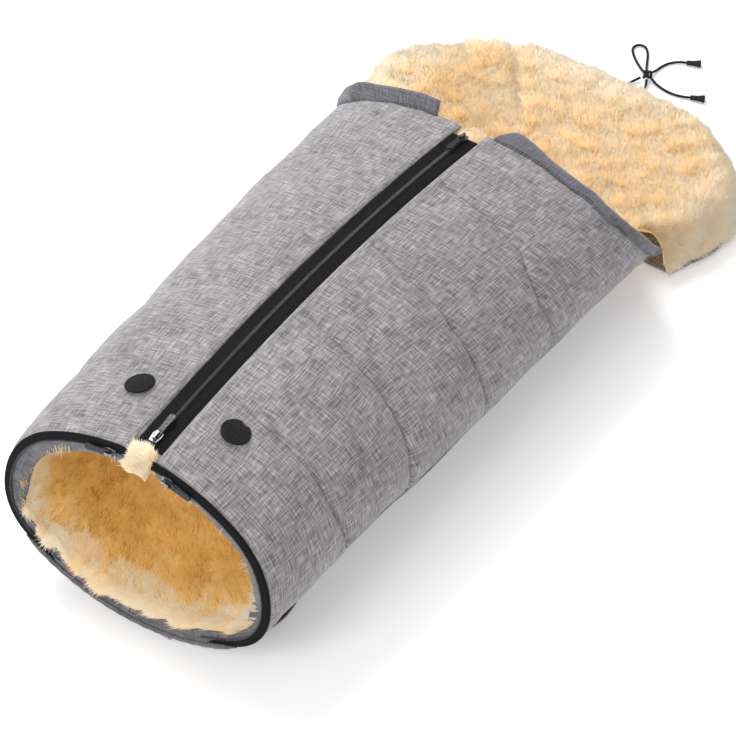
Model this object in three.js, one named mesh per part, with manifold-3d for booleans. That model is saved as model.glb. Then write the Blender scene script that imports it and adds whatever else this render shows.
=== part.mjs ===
// Sheepskin-lined pushchair footmuff, lying on its back.
// Millimetres. +X is the muff's right side, +Y runs from the foot to the head, +Z is up.
import * as THREE from "three";
import { mergeVertices } from "three/addons/utils/BufferGeometryUtils.js";
import Module from "manifold-3d";

// ---------- driving dimensions: the tube ----------
const LENGTH = 955;               // foot rim to the far edge of the hood
const FOOT_HALF_WIDTH = 164;      // half width of the foot rim
const NECK_HALF_WIDTH = 197;      // half width of the neck
const FOOT_HEIGHT = 217;          // top of the foot rim above the floor
const FOOT_LEAN = 39;             // how far the rim's top leans towards the head
const NECK_HEIGHT = 199;          // top of the neck above the floor
const NECK_TOP_Y = 620;           // where the front zip ends
const NECK_FLOOR_Y = 745;         // where the neck meets the floor
const ZIP_CROWN = 22;             // how far the zip line bows above its chord
const WIDEST_SHARE = 0.44;        // height of the widest point, as a share of the section
const CROWN_ANGLE = 30;           // half angle of the section's flat top and bottom arcs
const SEAM_ANGLE = 112;           // where the front cover meets the back, from the top

// ---------- layers and clearances ----------
const GAP = 0.3;                  // between pieces that touch
const FABRIC = 4;                 // padded outer fabric
const HIDE_AND_WOOL = 21.7;       // sheepskin lining of the tube
const FLAP_WOOL = 8;              // shorn sheepskin on the foot flap
const FLAP_FABRIC = 4;
const RIM_RECESS = 4;             // the lining stops this far behind the rim
const FACING_THICK = 2.6;
const FACING_WIDTH = 25;
const FACING_CLEAR = 1;           // the leaning facing needs more than a gap at its bottom
const COLLAR_WIDTH = 22;          // fabric band round the neck opening
const COLLAR_PEAK = 18;           // extra width of the band beside the zip
const COLLAR_THICK = 6;
const COLLAR_FROM = 6;            // degrees from the top where each band begins
const COLLAR_TO = 100;            // and where it ends

// ---------- zips ----------
const TAPE_HALF = 14.7;           // centre of the zip to the tape's sewn edge
const TAPE_THICK = 1.6;
const TAPE_INSET = 0.6;           // tape face below the fabric face
const COIL_OUTER = 1.75;          // centre of the zip to the outside of one coil
const COIL_RISE = 0.9;            // coil above the fabric face
const COIL_SINK = 2.0;            // coil below the fabric face
const COIL_SPLIT = 0.15;          // half the gap between the two coils
const ZIP_START = 0.018;          // ends of the front zip along the tube
const ZIP_END = 0.985;
const RING_INSET = 10.55;         // centre of the foot zip, in from the rim
const RING_LIFT = 2.5;            // fabric face level of the foot zip, out from the rim
const RING_START_X = 13;          // the foot zip leaves a gap round the front zip's end
const RING_END_ANGLE = 150;       // where the foot zip stops, from the top
const FLAP_TAPE_TRIM = 3;           // the flap's tape is this much narrower than the front zip's
const FLAP_START_X = 74;          // the flap's half of the zip starts past the parked sliders

// ---------- sliders, pulls and dots ----------
const SLIDER_WIDTH = 11;
const SLIDER_LENGTH = 13;
const SLIDER_PLATE = 1.55;
const FLANGE = 1.2;
const BRIDGE_WIDTH = 2.6;
const BRIDGE_REACH = 4.5;
const BRIDGE_POST = 1.5;
const BRIDGE_OPENING = 2.8;
const PULL_THICK = 1.6;
const PULL_WIDTH = 7;
const PULL_LENGTH = 30;
const PULL_SLACK = 0.4;
const TOP_SLIDER_Y = 606;
const BOTTOM_SLIDER_Y = 62;
const RING_SLIDER_X = 34;
const DOT_RADIUS = 15.5;
const DOT_THICK = 2.4;
const DOT_EDGE = 1.2;              // width of the dot's sloping edge
const DOT_X = 58;
const DOT_Y = 113;

// ---------- flap and hood ----------
const HINGE_RADIUS = 2.6;         // rolled fold of fabric that the flap swings on
const HINGE_LIFT = 2.3;           // fold's centre, out from the rim
const HINGE_HALF = 62;
const HOOD_HINGE_Y = 750;
const HOOD_NECK_HALF = 216;
const HOOD_HALF_WIDTH = 240;
const HOOD_WIDEST_Y = 806;
const HOOD_SQUARE = 2.15;         // exponent of the hood's rounded outline
const HOOD_FABRIC = 3;
const HOOD_WOOL_TOP = 56;
const HOOD_WOOL_EDGE = 13;        // the wool's top edge is rounded over this far
const HOOD_FOLD = 45;             // the hood folds up this many degrees
const HEM_RADIUS = 4.6;
const HEM_BORE = 2.6;
const HEM_GAP = 2.8;               // hem to the hood behind it
const CORD_DIAMETER = 3.2;
const EYELET_RADIUS = 4.2;
const EYELET_THICK = 1.2;
const EYELET_X = 13;
const KNOT_RADIUS = 6.5;
const CORD_END_LENGTH = 17;
const CORD_END_WIDE = 4.6;
const CORD_END_NARROW = 2.9;

const rad = THREE.MathUtils.degToRad;
const wasm = await Module();
wasm.setup();

const LINING_INSET = FABRIC + GAP;
const CAVITY_INSET = LINING_INSET + HIDE_AND_WOOL;
const FLAP_STACK = FLAP_WOOL + GAP + FLAP_FABRIC;
const FOOT_RAISE = FLAP_STACK + 0.5;        // the back lies on the folded flap here

// ---------- materials ----------
const fabricLight = [0x9d9a9f, 0.95, 0];
const fabricDark = [0x6a6973, 0.95, 0];
const woolHoney = [0xf0cf96, 1, 0];
const tapeBlack = [0x1b1b1d, 0.7, 0];
const coilGrey = [0x8c8c8e, 0.45, 0.2];
const metalDark = [0x55585a, 0.35, 0.9];
const dotBlack = [0x26252a, 0.9, 0];
const cordBlack = [0x151515, 0.8, 0];

const muff = new THREE.Group();
const addMesh = (name, geometry, [color, roughness, metalness], parent = muff) => {
  const mesh = new THREE.Mesh(geometry, new THREE.MeshStandardMaterial({ color, roughness, metalness }));
  mesh.name = name;
  parent.add(mesh);
  return mesh;
};

// ---------- manifold helpers ----------
const toSolid = (geometry) => {
  const bare = geometry.clone();
  for (const key of Object.keys(bare.attributes)) if (key !== "position") bare.deleteAttribute(key);
  const merged = mergeVertices(bare, 1e-4);
  return new wasm.Manifold(new wasm.Mesh({
    numProp: 3,
    vertProperties: new Float32Array(merged.attributes.position.array),
    triVerts: new Uint32Array(merged.index.array),
  }));
};
const toGeometry = (solid) => {
  const mesh = solid.getMesh();
  const geometry = new THREE.BufferGeometry();
  geometry.setAttribute("position", new THREE.BufferAttribute(new Float32Array(mesh.vertProperties), 3));
  geometry.setIndex(new THREE.BufferAttribute(new Uint32Array(mesh.triVerts), 1));
  return geometry;
};
const box = (x0, x1, y0, y1, z0, z1) => {
  const geometry = new THREE.BoxGeometry(x1 - x0, y1 - y0, z1 - z0);
  return geometry.translate((x0 + x1) / 2, (y0 + y1) / 2, (z0 + z1) / 2);
};
const join = (...geometries) => toGeometry(geometries.map(toSolid).reduce((a, b) => a.add(b)));

// ---------- the tube's wall ----------
// The zip line is a circular arc in the plane X = 0, so a slider swings along it exactly.
const chordY = NECK_TOP_Y - FOOT_LEAN;
const chordZ = NECK_HEIGHT - FOOT_HEIGHT;
const chord = Math.hypot(chordY, chordZ);
const ZIP_RADIUS = (chord * chord) / (8 * ZIP_CROWN) + ZIP_CROWN / 2;
const chordTilt = Math.atan2(chordZ, chordY);
const toCentre = ZIP_RADIUS - ZIP_CROWN;
const ZIP_CENTRE = {
  y: FOOT_LEAN + chordY / 2 + toCentre * Math.sin(chordTilt),
  z: FOOT_HEIGHT + chordZ / 2 - toCentre * Math.cos(chordTilt),
};
const zipHalfAngle = Math.asin(chord / 2 / ZIP_RADIUS);
const zipAngle = (s) => chordTilt + zipHalfAngle * (1 - 2 * s);   // from up, towards the foot
const zipAngleAtY = (y) => Math.asin((ZIP_CENTRE.y - y) / ZIP_RADIUS);
const zipShareAtY = (y) => (1 - (zipAngleAtY(y) - chordTilt) / zipHalfAngle) / 2;

const FLAP_REACH = FOOT_HEIGHT - 4;         // the folded flap ends before this
const FLAP_RAMP = 50;                       // then the back slopes down to the floor
const floorLift = (y) => FOOT_RAISE * THREE.MathUtils.clamp((FLAP_REACH + FLAP_RAMP - y) / FLAP_RAMP, 0, 1);
const LINING_START = (RIM_RECESS + 1) / NECK_FLOOR_Y;

// One station: the plane across the tube at share s of its length.
const station = (s) => {
  const a = zipAngle(s);
  const top = { y: ZIP_CENTRE.y - ZIP_RADIUS * Math.sin(a), z: ZIP_CENTRE.z + ZIP_RADIUS * Math.cos(a) };
  const floorY = NECK_FLOOR_Y * s;
  const floor = { y: floorY, z: floorLift(floorY) };
  const height = Math.hypot(top.y - floor.y, top.z - floor.z);
  const up = { y: (top.y - floor.y) / height, z: (top.z - floor.z) / height };
  return { floor, up, height, half: THREE.MathUtils.lerp(FOOT_HALF_WIDTH, NECK_HALF_WIDTH, s) };
};

// A section is an oval of tangent arcs: a flat crown at the top and bottom, rounder sides.
const phi = rad(CROWN_ANGLE);
const arcsFor = (half, rise) => {
  const offset = (half - rise) / (Math.sin(phi) + Math.cos(phi) - 1);
  const crown = half + offset * (1 - Math.sin(phi));
  return { crown, side: crown - offset, offset };
};
// The angle is the wall's outward normal: 0 at the top, 90 at the right, 180 at the floor.
const sectionPoint = (st, angle, inset) => {
  const a = angle > 180 ? 360 - angle : angle;
  const widest = st.height * WIDEST_SHARE;
  const upper = a <= 90;
  const { crown, side, offset } = arcsFor(st.half, upper ? st.height - widest : widest);
  const onCrown = Math.min(a, 180 - a) <= CROWN_ANGLE;
  const radius = (onCrown ? crown : side) - inset;
  const crownCentre = upper ? st.height - crown : crown;
  const x = (onCrown ? 0 : offset * Math.sin(phi)) + radius * Math.sin(rad(a));
  const w = (onCrown ? crownCentre : widest) + radius * Math.cos(rad(a));
  return { x: angle > 180 ? -x : x, w };
};
// The angle at which the top crown reaches a distance from the middle.
const angleAtX = (st, x, inset) => {
  const { crown } = arcsFor(st.half, st.height * (1 - WIDEST_SHARE));
  return THREE.MathUtils.radToDeg(Math.asin(x / (crown - inset)));
};
const place = (st, x, w, out = 0) => new THREE.Vector3(
  x,
  st.floor.y + w * st.up.y - out * st.up.z,
  st.floor.z + w * st.up.z + out * st.up.y,
);

// ---------- lofted solids ----------
// A closed solid between two grids of the same size.
const slab = (outer, inner, flip) => {
  const rows = outer.length;
  const cols = outer[0].length;
  const vertices = [];
  for (const row of [...outer, ...inner]) {
    for (const p of row) vertices.push(p.x, p.y, p.z);
  }
  const at = (layer, i, j) => (layer * rows + i) * cols + j;
  const faces = [];
  const quad = (a, b, c, d) => faces.push(...(flip ? [a, c, b, a, d, c] : [a, b, c, a, c, d]));
  for (let i = 0; i + 1 < rows; i += 1) {
    for (let j = 0; j + 1 < cols; j += 1) {
      quad(at(0, i, j), at(0, i, j + 1), at(0, i + 1, j + 1), at(0, i + 1, j));
      quad(at(1, i, j), at(1, i + 1, j), at(1, i + 1, j + 1), at(1, i, j + 1));
    }
    quad(at(0, i, 0), at(0, i + 1, 0), at(1, i + 1, 0), at(1, i, 0));
    quad(at(0, i, cols - 1), at(1, i, cols - 1), at(1, i + 1, cols - 1), at(0, i + 1, cols - 1));
  }
  for (let j = 0; j + 1 < cols; j += 1) {
    quad(at(0, 0, j), at(1, 0, j), at(1, 0, j + 1), at(0, 0, j + 1));
    quad(at(0, rows - 1, j), at(0, rows - 1, j + 1), at(1, rows - 1, j + 1), at(1, rows - 1, j));
  }
  const geometry = new THREE.BufferGeometry();
  geometry.setAttribute("position", new THREE.Float32BufferAttribute(vertices, 3));
  geometry.setIndex(faces);
  return geometry;
};
// A closed solid through rings of points, one above the other, with flat ends.
const stack = (rings) => {
  const count = rings[0].length;
  const vertices = rings.flat().flatMap((p) => [p.x, p.y, p.z]);
  const faces = [];
  for (let k = 0; k + 1 < rings.length; k += 1) {
    for (let i = 0; i < count; i += 1) {
      const next = (i + 1) % count;
      const [a, b, c, d] = [k * count + i, k * count + next, (k + 1) * count + next, (k + 1) * count + i];
      faces.push(a, b, c, a, c, d);
    }
  }
  for (const [k, top] of [[0, false], [rings.length - 1, true]]) {
    const centre = rings[k].reduce((sum, p) => sum.add(p), new THREE.Vector3()).divideScalar(count);
    const hub = vertices.push(centre.x, centre.y, centre.z) / 3 - 1;
    for (let i = 0; i < count; i += 1) {
      const [a, b] = [k * count + i, k * count + ((i + 1) % count)];
      faces.push(...(top ? [a, b, hub] : [b, a, hub]));
    }
  }
  const geometry = new THREE.BufferGeometry();
  geometry.setAttribute("position", new THREE.Float32BufferAttribute(vertices, 3));
  geometry.setIndex(faces);
  return geometry;
};
const spread = (from, to, count) => {
  return Array.from({ length: count + 1 }, (_, k) => from + ((to - from) * k) / count);
};

// Shared marks, so that the facets of touching layers lie parallel.
const ANGLE_STEP = 12;
const marksBetween = (from, to, step = ANGLE_STEP) => {
  return spread(0, 360, 360 / step).filter((a) => a > from + step / 2 && a < to - step / 2);
};
const STATION_COUNT = 14;
const stationsBetween = (from, to) => {
  const bends = [FLAP_REACH, FLAP_REACH + FLAP_RAMP].map((y) => y / NECK_FLOOR_Y);
  const clear = (s) => bends.every((b) => Math.abs(s - b) > 0.4 / STATION_COUNT);
  const even = spread(0, 1, STATION_COUNT).filter(clear);
  const inside = [...even, ...bends].filter((s) => s > from + 0.01 && s < to - 0.01);
  return [from, ...inside, to].sort((a, b) => a - b);
};

// A stretch of the tube's wall between two insets. from and to give its long edges' angles.
const wall = ({ stations, from, to, face, back, side = 1, marks = marksBetween }) => {
  const grid = (inset) => stations.map((s) => {
    const st = station(s);
    const middle = marks(from(st, face), to(st, face));
    return [from(st, inset), ...middle, to(st, inset)].map((angle) => {
      const p = sectionPoint(st, angle, inset);
      return place(st, side * p.x, p.w);
    });
  });
  return slab(grid(face), grid(back), side < 0);
};
const SEAM_GAP = 0.16;                      // degrees, to each side of the side seam
const atAngle = (angle) => () => angle;
const atX = (x) => (st, inset) => angleAtX(st, x, inset);
const SIDES = [["left", -1], ["right", 1]];

// ---------- outer fabric and sheepskin lining of the tube ----------
const wholeTube = stationsBetween(0, 1);
const liningTube = stationsBetween(LINING_START, 1);
for (const [word, side] of SIDES) {
  addMesh(`front_panel_${word}`, wall({
    stations: wholeTube, from: atX(TAPE_HALF + GAP), to: atAngle(SEAM_ANGLE - SEAM_GAP),
    face: 0, back: FABRIC, side,
  }), fabricLight);
  addMesh(`front_lining_${word}`, wall({
    stations: liningTube, from: atX(GAP / 2), to: atAngle(SEAM_ANGLE - SEAM_GAP),
    face: LINING_INSET, back: CAVITY_INSET, side,
  }), woolHoney);
}
const underside = { from: atAngle(SEAM_ANGLE + SEAM_GAP), to: atAngle(360 - SEAM_ANGLE - SEAM_GAP) };
addMesh("back_panel", wall({ stations: wholeTube, ...underside, face: 0, back: FABRIC }), fabricLight);
addMesh("back_lining", wall({
  stations: liningTube, ...underside, face: LINING_INSET, back: CAVITY_INSET,
}), woolHoney);

// ---------- collar bands round the neck opening ----------
const collarShare = (angle) => {
  const peak = COLLAR_PEAK * Math.exp(-(((angle - COLLAR_FROM) / 7) ** 2));
  return 1 + (COLLAR_WIDTH + peak) / chord;
};
const collarGrid = (side, inset) => [0, 1, 2].map((row) => spread(COLLAR_FROM, COLLAR_TO, 12).map((angle) => {
  const s = THREE.MathUtils.lerp(1 + GAP / 100, collarShare(angle), row / 2);
  const st = station(s);
  const p = sectionPoint(st, angle, inset);
  return place(st, side * p.x, p.w);
}));
for (const [word, side] of SIDES) {
  const outer = collarGrid(side, -COLLAR_THICK / 4);
  addMesh(`collar_${word}`, slab(outer, collarGrid(side, COLLAR_THICK * 0.75), side < 0), fabricDark);
}

// ---------- front zip ----------
const zipStations = spread(ZIP_START, ZIP_END, 24);
const noMarks = () => [];
for (const [word, side] of SIDES) {
  addMesh(`front_zip_tape_${word}`, wall({
    stations: zipStations, from: atX(COIL_OUTER + GAP), to: atX(TAPE_HALF),
    face: TAPE_INSET, back: TAPE_INSET + TAPE_THICK, side, marks: noMarks,
  }), tapeBlack);
  addMesh(`front_zip_coil_${word}`, wall({
    stations: zipStations, from: atX(COIL_SPLIT), to: atX(COIL_OUTER),
    face: -COIL_RISE, back: COIL_SINK, side, marks: noMarks,
  }), coilGrey);
}

// ---------- foot zip and facings, in the plane of the rim ----------
const rim = station(0);
const rimCrown = arcsFor(rim.half, rim.height * (1 - WIDEST_SHARE)).crown;
const rimPlace = (x, w, out) => place(rim, x, w, out);
const flapHinge = {
  out: HINGE_LIFT,
  w: (FLAP_WOOL + HINGE_LIFT * (1 - rim.up.y) - FOOT_RAISE) / rim.up.z,
};
const hingePoint = rimPlace(0, flapHinge.w, flapHinge.out);
// The flap's rest place: folded flat under the foot, its wool on the floor.
const foldedPlace = (x, w, out) => new THREE.Vector3(x, hingePoint.y + w - flapHinge.w, FLAP_WOOL + out);
const arcBand = ({ side, fromX, toAngle, inset0, inset1, out0, out1, step, map }) => {
  const marks = marksBetween(angleAtX(rim, fromX, inset0), toAngle, step);
  const grid = (out) => [inset0, inset1].map((inset) => {
    return [angleAtX(rim, fromX, inset), ...marks, toAngle].map((angle) => {
      const p = sectionPoint(rim, angle, inset);
      return map(side * p.x, p.w, out);
    });
  });
  return slab(grid(out1), grid(out0), side > 0);
};
const ringFace = RING_LIFT - TAPE_INSET;
const ringBack = ringFace - TAPE_THICK;
for (const [word, side] of SIDES) {
  addMesh(`foot_facing_${word}`, arcBand({
    side, fromX: RING_START_X, toAngle: 180 - SEAM_GAP,
    inset0: FABRIC + FACING_CLEAR, inset1: FABRIC + FACING_WIDTH,
    out0: -FACING_THICK, out1: 0, step: ANGLE_STEP, map: rimPlace,
  }), fabricDark);
  const muffSide = { side, fromX: RING_START_X, toAngle: RING_END_ANGLE, step: 4, map: rimPlace };
  addMesh(`foot_zip_tape_${word}`, arcBand({
    ...muffSide, inset0: GAP, inset1: RING_INSET - COIL_OUTER - GAP, out0: ringBack, out1: ringFace,
  }), tapeBlack);
  addMesh(`foot_zip_coil_${word}`, arcBand({
    ...muffSide, inset0: RING_INSET - COIL_OUTER, inset1: RING_INSET - COIL_SPLIT,
    out0: RING_LIFT - COIL_SINK, out1: RING_LIFT + COIL_RISE,
  }), coilGrey);
}

// ---------- foot flap ----------
const flapOuter = RING_INSET + TAPE_HALF - FLAP_TAPE_TRIM;
const tongueAngle = 180 - THREE.MathUtils.radToDeg(
  Math.asin(HINGE_HALF / (arcsFor(rim.half, rim.height * WIDEST_SHARE).crown - flapOuter - GAP)),
);
const tongueStart = flapHinge.w + HINGE_RADIUS + GAP;
const flapOutline = (inset) => {
  const arc = spread(tongueAngle, 0, 18).map((angle) => sectionPoint(rim, angle, inset));
  const right = [{ x: arc[0].x, w: tongueStart }, ...arc];
  return [...right, ...right.slice(0, -1).reverse().map(({ x, w }) => ({ x: -x, w }))];
};
const woolOutline = (inset) => {
  const arc = spread(180, 0, 18).map((angle) => sectionPoint(rim, angle, inset));
  return [...arc, ...arc.slice(1, -1).reverse().map(({ x, w }) => ({ x: -x, w }))];
};
const flapStack = (outline, levels) => stack(levels.map(([inset, out]) => {
  return outline(inset).map(({ x, w }) => foldedPlace(x, w, out));
}));
const flapInset = flapOuter + GAP;
const flapLevels = [[flapInset, GAP], [flapInset, GAP + FLAP_FABRIC]];
addMesh("flap_shell", flapStack(flapOutline, flapLevels), fabricLight);
const woolInset = FABRIC + FACING_WIDTH + 5;
addMesh("flap_lining", flapStack(woolOutline, [
  [woolInset + 4, -FLAP_WOOL], [woolInset, -FLAP_WOOL / 2], [woolInset, 0],
]), woolHoney);
for (const [word, side] of SIDES) {
  const flapSide = { side, fromX: FLAP_START_X, toAngle: RING_END_ANGLE, step: 4, map: foldedPlace };
  addMesh(`flap_zip_tape_${word}`, arcBand({
    ...flapSide, inset0: RING_INSET + COIL_OUTER + GAP, inset1: flapOuter, out0: ringBack, out1: ringFace,
  }), tapeBlack);
  addMesh(`flap_zip_coil_${word}`, arcBand({
    ...flapSide, inset0: RING_INSET + COIL_SPLIT, inset1: RING_INSET + COIL_OUTER,
    out0: RING_LIFT - COIL_SINK, out1: RING_LIFT + COIL_RISE,
  }), coilGrey);
}
const fold = new THREE.CylinderGeometry(HINGE_RADIUS, HINGE_RADIUS, 2 * HINGE_HALF, 16).rotateZ(Math.PI / 2);
addMesh("flap_hinge_fold", fold, fabricDark).position.copy(hingePoint);

// ---------- sliders and pulls ----------
// Local frame: Y along the zip, Z out of the fabric, origin on the fabric's face.
const plateBase = COIL_RISE + GAP + 0.05;
const plateTop = plateBase + SLIDER_PLATE;
const flangeBase = 0.35 - TAPE_INSET;
const openingTop = plateTop + BRIDGE_OPENING;
const bridgeTop = openingTop + 1.4;
const sliderGeometry = () => {
  const half = SLIDER_WIDTH / 2;
  const end = SLIDER_LENGTH / 2;
  const post = BRIDGE_WIDTH / 2;
  const corners = [
    [-half * 0.75, -end], [half * 0.75, -end], [half, end * 0.4],
    [half * 0.8, end], [-half * 0.8, end], [-half, end * 0.4],
  ];
  const outline = new THREE.Shape(corners.map(([x, y]) => new THREE.Vector2(x, y)));
  const plate = new THREE.ExtrudeGeometry(outline, { depth: plateTop - plateBase, bevelEnabled: false });
  const flange = (side) => box(
    side > 0 ? half - FLANGE - 1 : -half + 1, side > 0 ? half - 1 : -half + FLANGE + 1,
    -end * 0.7, end * 0.7, flangeBase, plateBase + 0.5,
  );
  const legs = [-BRIDGE_REACH, BRIDGE_REACH - BRIDGE_POST];
  return join(
    plate.translate(0, 0, plateBase), flange(-1), flange(1),
    ...legs.map((y) => box(-post, post, y, y + BRIDGE_POST, plateTop - 0.3, openingTop + 0.5)),
    box(-post, post, -BRIDGE_REACH, BRIDGE_REACH, openingTop, bridgeTop),
  );
};
// The pull's bar turns inside the bridge, and its window clears the bridge's post.
const pivotLift = plateTop + 0.35 + PULL_THICK / 2;
const pullGeometry = (direction) => {
  const half = PULL_WIDTH / 2;
  const bar = PULL_THICK / 2;
  const windowEnd = BRIDGE_REACH + bar + PULL_SLACK + 0.6;
  const outline = new THREE.Shape();
  outline.moveTo(-half, -bar);
  outline.lineTo(half, -bar);
  outline.lineTo(half * 0.8, PULL_LENGTH * 0.45);
  outline.lineTo(half, PULL_LENGTH - half);
  outline.absarc(0, PULL_LENGTH - half, half, 0, Math.PI, false);
  outline.lineTo(-half * 0.8, PULL_LENGTH * 0.45);
  const window = new THREE.Path();
  const reach = BRIDGE_WIDTH / 2 + PULL_SLACK;
  window.moveTo(-reach, bar);
  window.lineTo(-reach, windowEnd);
  window.lineTo(reach, windowEnd);
  window.lineTo(reach, bar);
  outline.holes.push(window);
  const settings = { depth: PULL_THICK, bevelEnabled: false, curveSegments: 5 };
  const plate = new THREE.ExtrudeGeometry(outline, settings);
  plate.translate(0, 0, pivotLift - bar);
  return direction < 0 ? plate.rotateZ(Math.PI) : plate;
};
const zipFrame = (y) => {
  const a = zipAngleAtY(y);
  const frame = new THREE.Matrix4().makeRotationX(a);
  const normal = new THREE.Vector3(0, -Math.sin(a), Math.cos(a));
  const centre = new THREE.Vector3(0, ZIP_CENTRE.y, ZIP_CENTRE.z);
  return frame.setPosition(normal.multiplyScalar(ZIP_RADIUS).add(centre));
};
const ringFrame = (side) => {
  const radius = rimCrown - RING_INSET;
  const a = Math.asin(RING_SLIDER_X / radius);
  const up = new THREE.Vector3(0, rim.up.y, rim.up.z);
  const out = new THREE.Vector3(0, -rim.up.z, rim.up.y);
  const along = new THREE.Vector3(side * Math.cos(a), 0, 0).addScaledVector(up, -Math.sin(a));
  const across = new THREE.Vector3().crossVectors(along, out);
  const origin = rimPlace(side * RING_SLIDER_X, rim.height - rimCrown + radius * Math.cos(a), RING_LIFT);
  return new THREE.Matrix4().makeBasis(across, along, out).setPosition(origin);
};
const addSlider = (name, pullName, frame, direction) => {
  const carrier = new THREE.Group();
  carrier.applyMatrix4(frame);
  muff.add(carrier);
  addMesh(name, sliderGeometry(), metalDark, carrier);
  addMesh(pullName, pullGeometry(direction), metalDark, carrier);
};
addSlider("front_zip_top_slider", "front_zip_top_pull", zipFrame(TOP_SLIDER_Y), -1);
addSlider("front_zip_bottom_slider", "front_zip_bottom_pull", zipFrame(BOTTOM_SLIDER_Y), 1);
for (const [word, side] of SIDES) {
  addSlider(`foot_zip_slider_${word}`, `foot_zip_pull_${word}`, ringFrame(side), 1);
}

// ---------- round fastening dots ----------
const dotShare = zipShareAtY(DOT_Y);
for (const [word, side] of SIDES) {
  const at = (s, lift) => {
    const st = station(s);
    const p = sectionPoint(st, angleAtX(st, DOT_X, 0), -lift);
    return place(st, side * p.x, p.w);
  };
  const seat = at(dotShare, 0.9);
  const st = station(dotShare);
  const tilt = angleAtX(st, DOT_X, 0);
  const drop = Math.sin(rad(tilt));
  const across = new THREE.Vector3(side * Math.cos(rad(tilt)), -st.up.y * drop, -st.up.z * drop);
  const alongZip = at(dotShare + 0.02, 0).sub(at(dotShare - 0.02, 0));
  const normal = new THREE.Vector3().crossVectors(across, alongZip).normalize().multiplyScalar(side);
  const profile = [
    [0, 0], [DOT_RADIUS, 0], [DOT_RADIUS, DOT_THICK * 0.6], [DOT_RADIUS - DOT_EDGE, DOT_THICK], [0, DOT_THICK],
  ];
  const disc = new THREE.LatheGeometry(profile.map(([x, y]) => new THREE.Vector2(x, y)), 32);
  const dot = addMesh(`dot_${word}`, disc, dotBlack);
  dot.quaternion.setFromUnitVectors(new THREE.Vector3(0, 1, 0), normal);
  dot.position.copy(seat);
}

// ---------- hood ----------
const hoodEdge = (neckY) => {
  const power = 2 / HOOD_SQUARE;
  const right = [];
  for (const t of spread(80, 0, 5).map(rad)) {
    const x = HOOD_NECK_HALF + (HOOD_HALF_WIDTH - HOOD_NECK_HALF) * Math.cos(t);
    right.push({ x, y: HOOD_WIDEST_Y - (HOOD_WIDEST_Y - neckY) * Math.sin(t) / Math.sin(rad(80)) });
  }
  for (const t of spread(0, 90, 16).slice(1).map(rad)) {
    const x = HOOD_HALF_WIDTH * Math.abs(Math.cos(t)) ** power;
    right.push({ x, y: HOOD_WIDEST_Y + (LENGTH - HOOD_WIDEST_Y) * Math.sin(t) ** power });
  }
  right[right.length - 1].x = 0;
  return [...right, ...right.slice(0, -1).reverse().map(({ x, y }) => ({ x: -x, y }))];
};
// The edge moved inwards along its own normals.
const hoodOutline = (inset, neckY) => {
  const edge = hoodEdge(neckY);
  return edge.map((p, k) => {
    const before = edge[Math.max(k - 1, 0)];
    const after = edge[Math.min(k + 1, edge.length - 1)];
    const run = Math.hypot(after.x - before.x, after.y - before.y);
    const x = p.x - (inset * (after.y - before.y)) / run;
    const y = p.y + (inset * (after.x - before.x)) / run;
    const atNeck = k === 0 || k === edge.length - 1;
    return { x, y: atNeck ? neckY : Math.max(y, neckY) };
  });
};
const hoodLevel = (inset, neckY, z) => {
  return hoodOutline(inset, neckY).map(({ x, y }) => new THREE.Vector3(x, y, z));
};
const hemClear = 2 * HEM_RADIUS + HEM_GAP;
const hoodStart = HOOD_HINGE_Y + GAP;
const hoodSheet = [0, HOOD_FABRIC].map((z) => hoodLevel(hemClear, hoodStart, z));
addMesh("hood_shell", stack(hoodSheet), fabricLight);
const notch = (z) => hoodStart + 2.5 + z * Math.tan(rad(HOOD_FOLD / 2 - 2));
const woolLevels = [
  [hemClear, HOOD_FABRIC + GAP], [hemClear, 2 * HEM_RADIUS + GAP], [0, 2 * HEM_RADIUS + 14],
  [0, HOOD_WOOL_TOP - HOOD_WOOL_EDGE], [HOOD_WOOL_EDGE * 0.3, HOOD_WOOL_TOP - HOOD_WOOL_EDGE * 0.3],
  [HOOD_WOOL_EDGE, HOOD_WOOL_TOP],
];
addMesh("hood_lining", stack(woolLevels.map(([inset, z]) => hoodLevel(inset, notch(z), z))), woolHoney);

// The hem is a hollow channel sewn round the hood's edge, and the drawcord runs in it.
const hemPath = hoodOutline(HEM_RADIUS, hoodStart).map(({ x, y }) => new THREE.Vector3(x, y, HEM_RADIUS));
const hemRing = (index, radius) => {
  const before = hemPath[Math.max(index - 1, 0)];
  const after = hemPath[Math.min(index + 1, hemPath.length - 1)];
  const along = after.clone().sub(before).normalize();
  const across = new THREE.Vector3(along.y, -along.x, 0);
  return spread(22.5, 337.5, 7).map(rad).map((t) => hemPath[index].clone()
    .addScaledVector(across, radius * Math.cos(t)).add(new THREE.Vector3(0, 0, radius * Math.sin(t))));
};
const sleeve = (outerRadius, innerRadius) => {
  const rings = hemPath.map((_, k) => [...hemRing(k, outerRadius), ...hemRing(k, innerRadius)]);
  const vertices = rings.flat().flatMap((p) => [p.x, p.y, p.z]);
  const faces = [];
  const quad = (a, b, c, d) => faces.push(a, b, c, a, c, d);
  for (let j = 0; j < 8; j += 1) {
    const next = (j + 1) % 8;
    for (let k = 0; k + 1 < rings.length; k += 1) {
      const here = 16 * k;
      quad(here + j, here + 16 + j, here + 16 + next, here + next);
      quad(here + 8 + j, here + 8 + next, here + 24 + next, here + 24 + j);
    }
    const last = 16 * (rings.length - 1);
    quad(j, next, 8 + next, 8 + j);
    quad(last + j, last + 8 + j, last + 8 + next, last + next);
  }
  const geometry = new THREE.BufferGeometry();
  geometry.setAttribute("position", new THREE.Float32BufferAttribute(vertices, 3));
  geometry.setIndex(faces);
  return geometry;
};
const holeRadius = CORD_DIAMETER / 2 + 0.5;
const eyeletHole = (x) => {
  return new THREE.CylinderGeometry(holeRadius, holeRadius, 2 * HEM_RADIUS, 12).translate(x, LENGTH, HEM_RADIUS);
};
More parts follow.
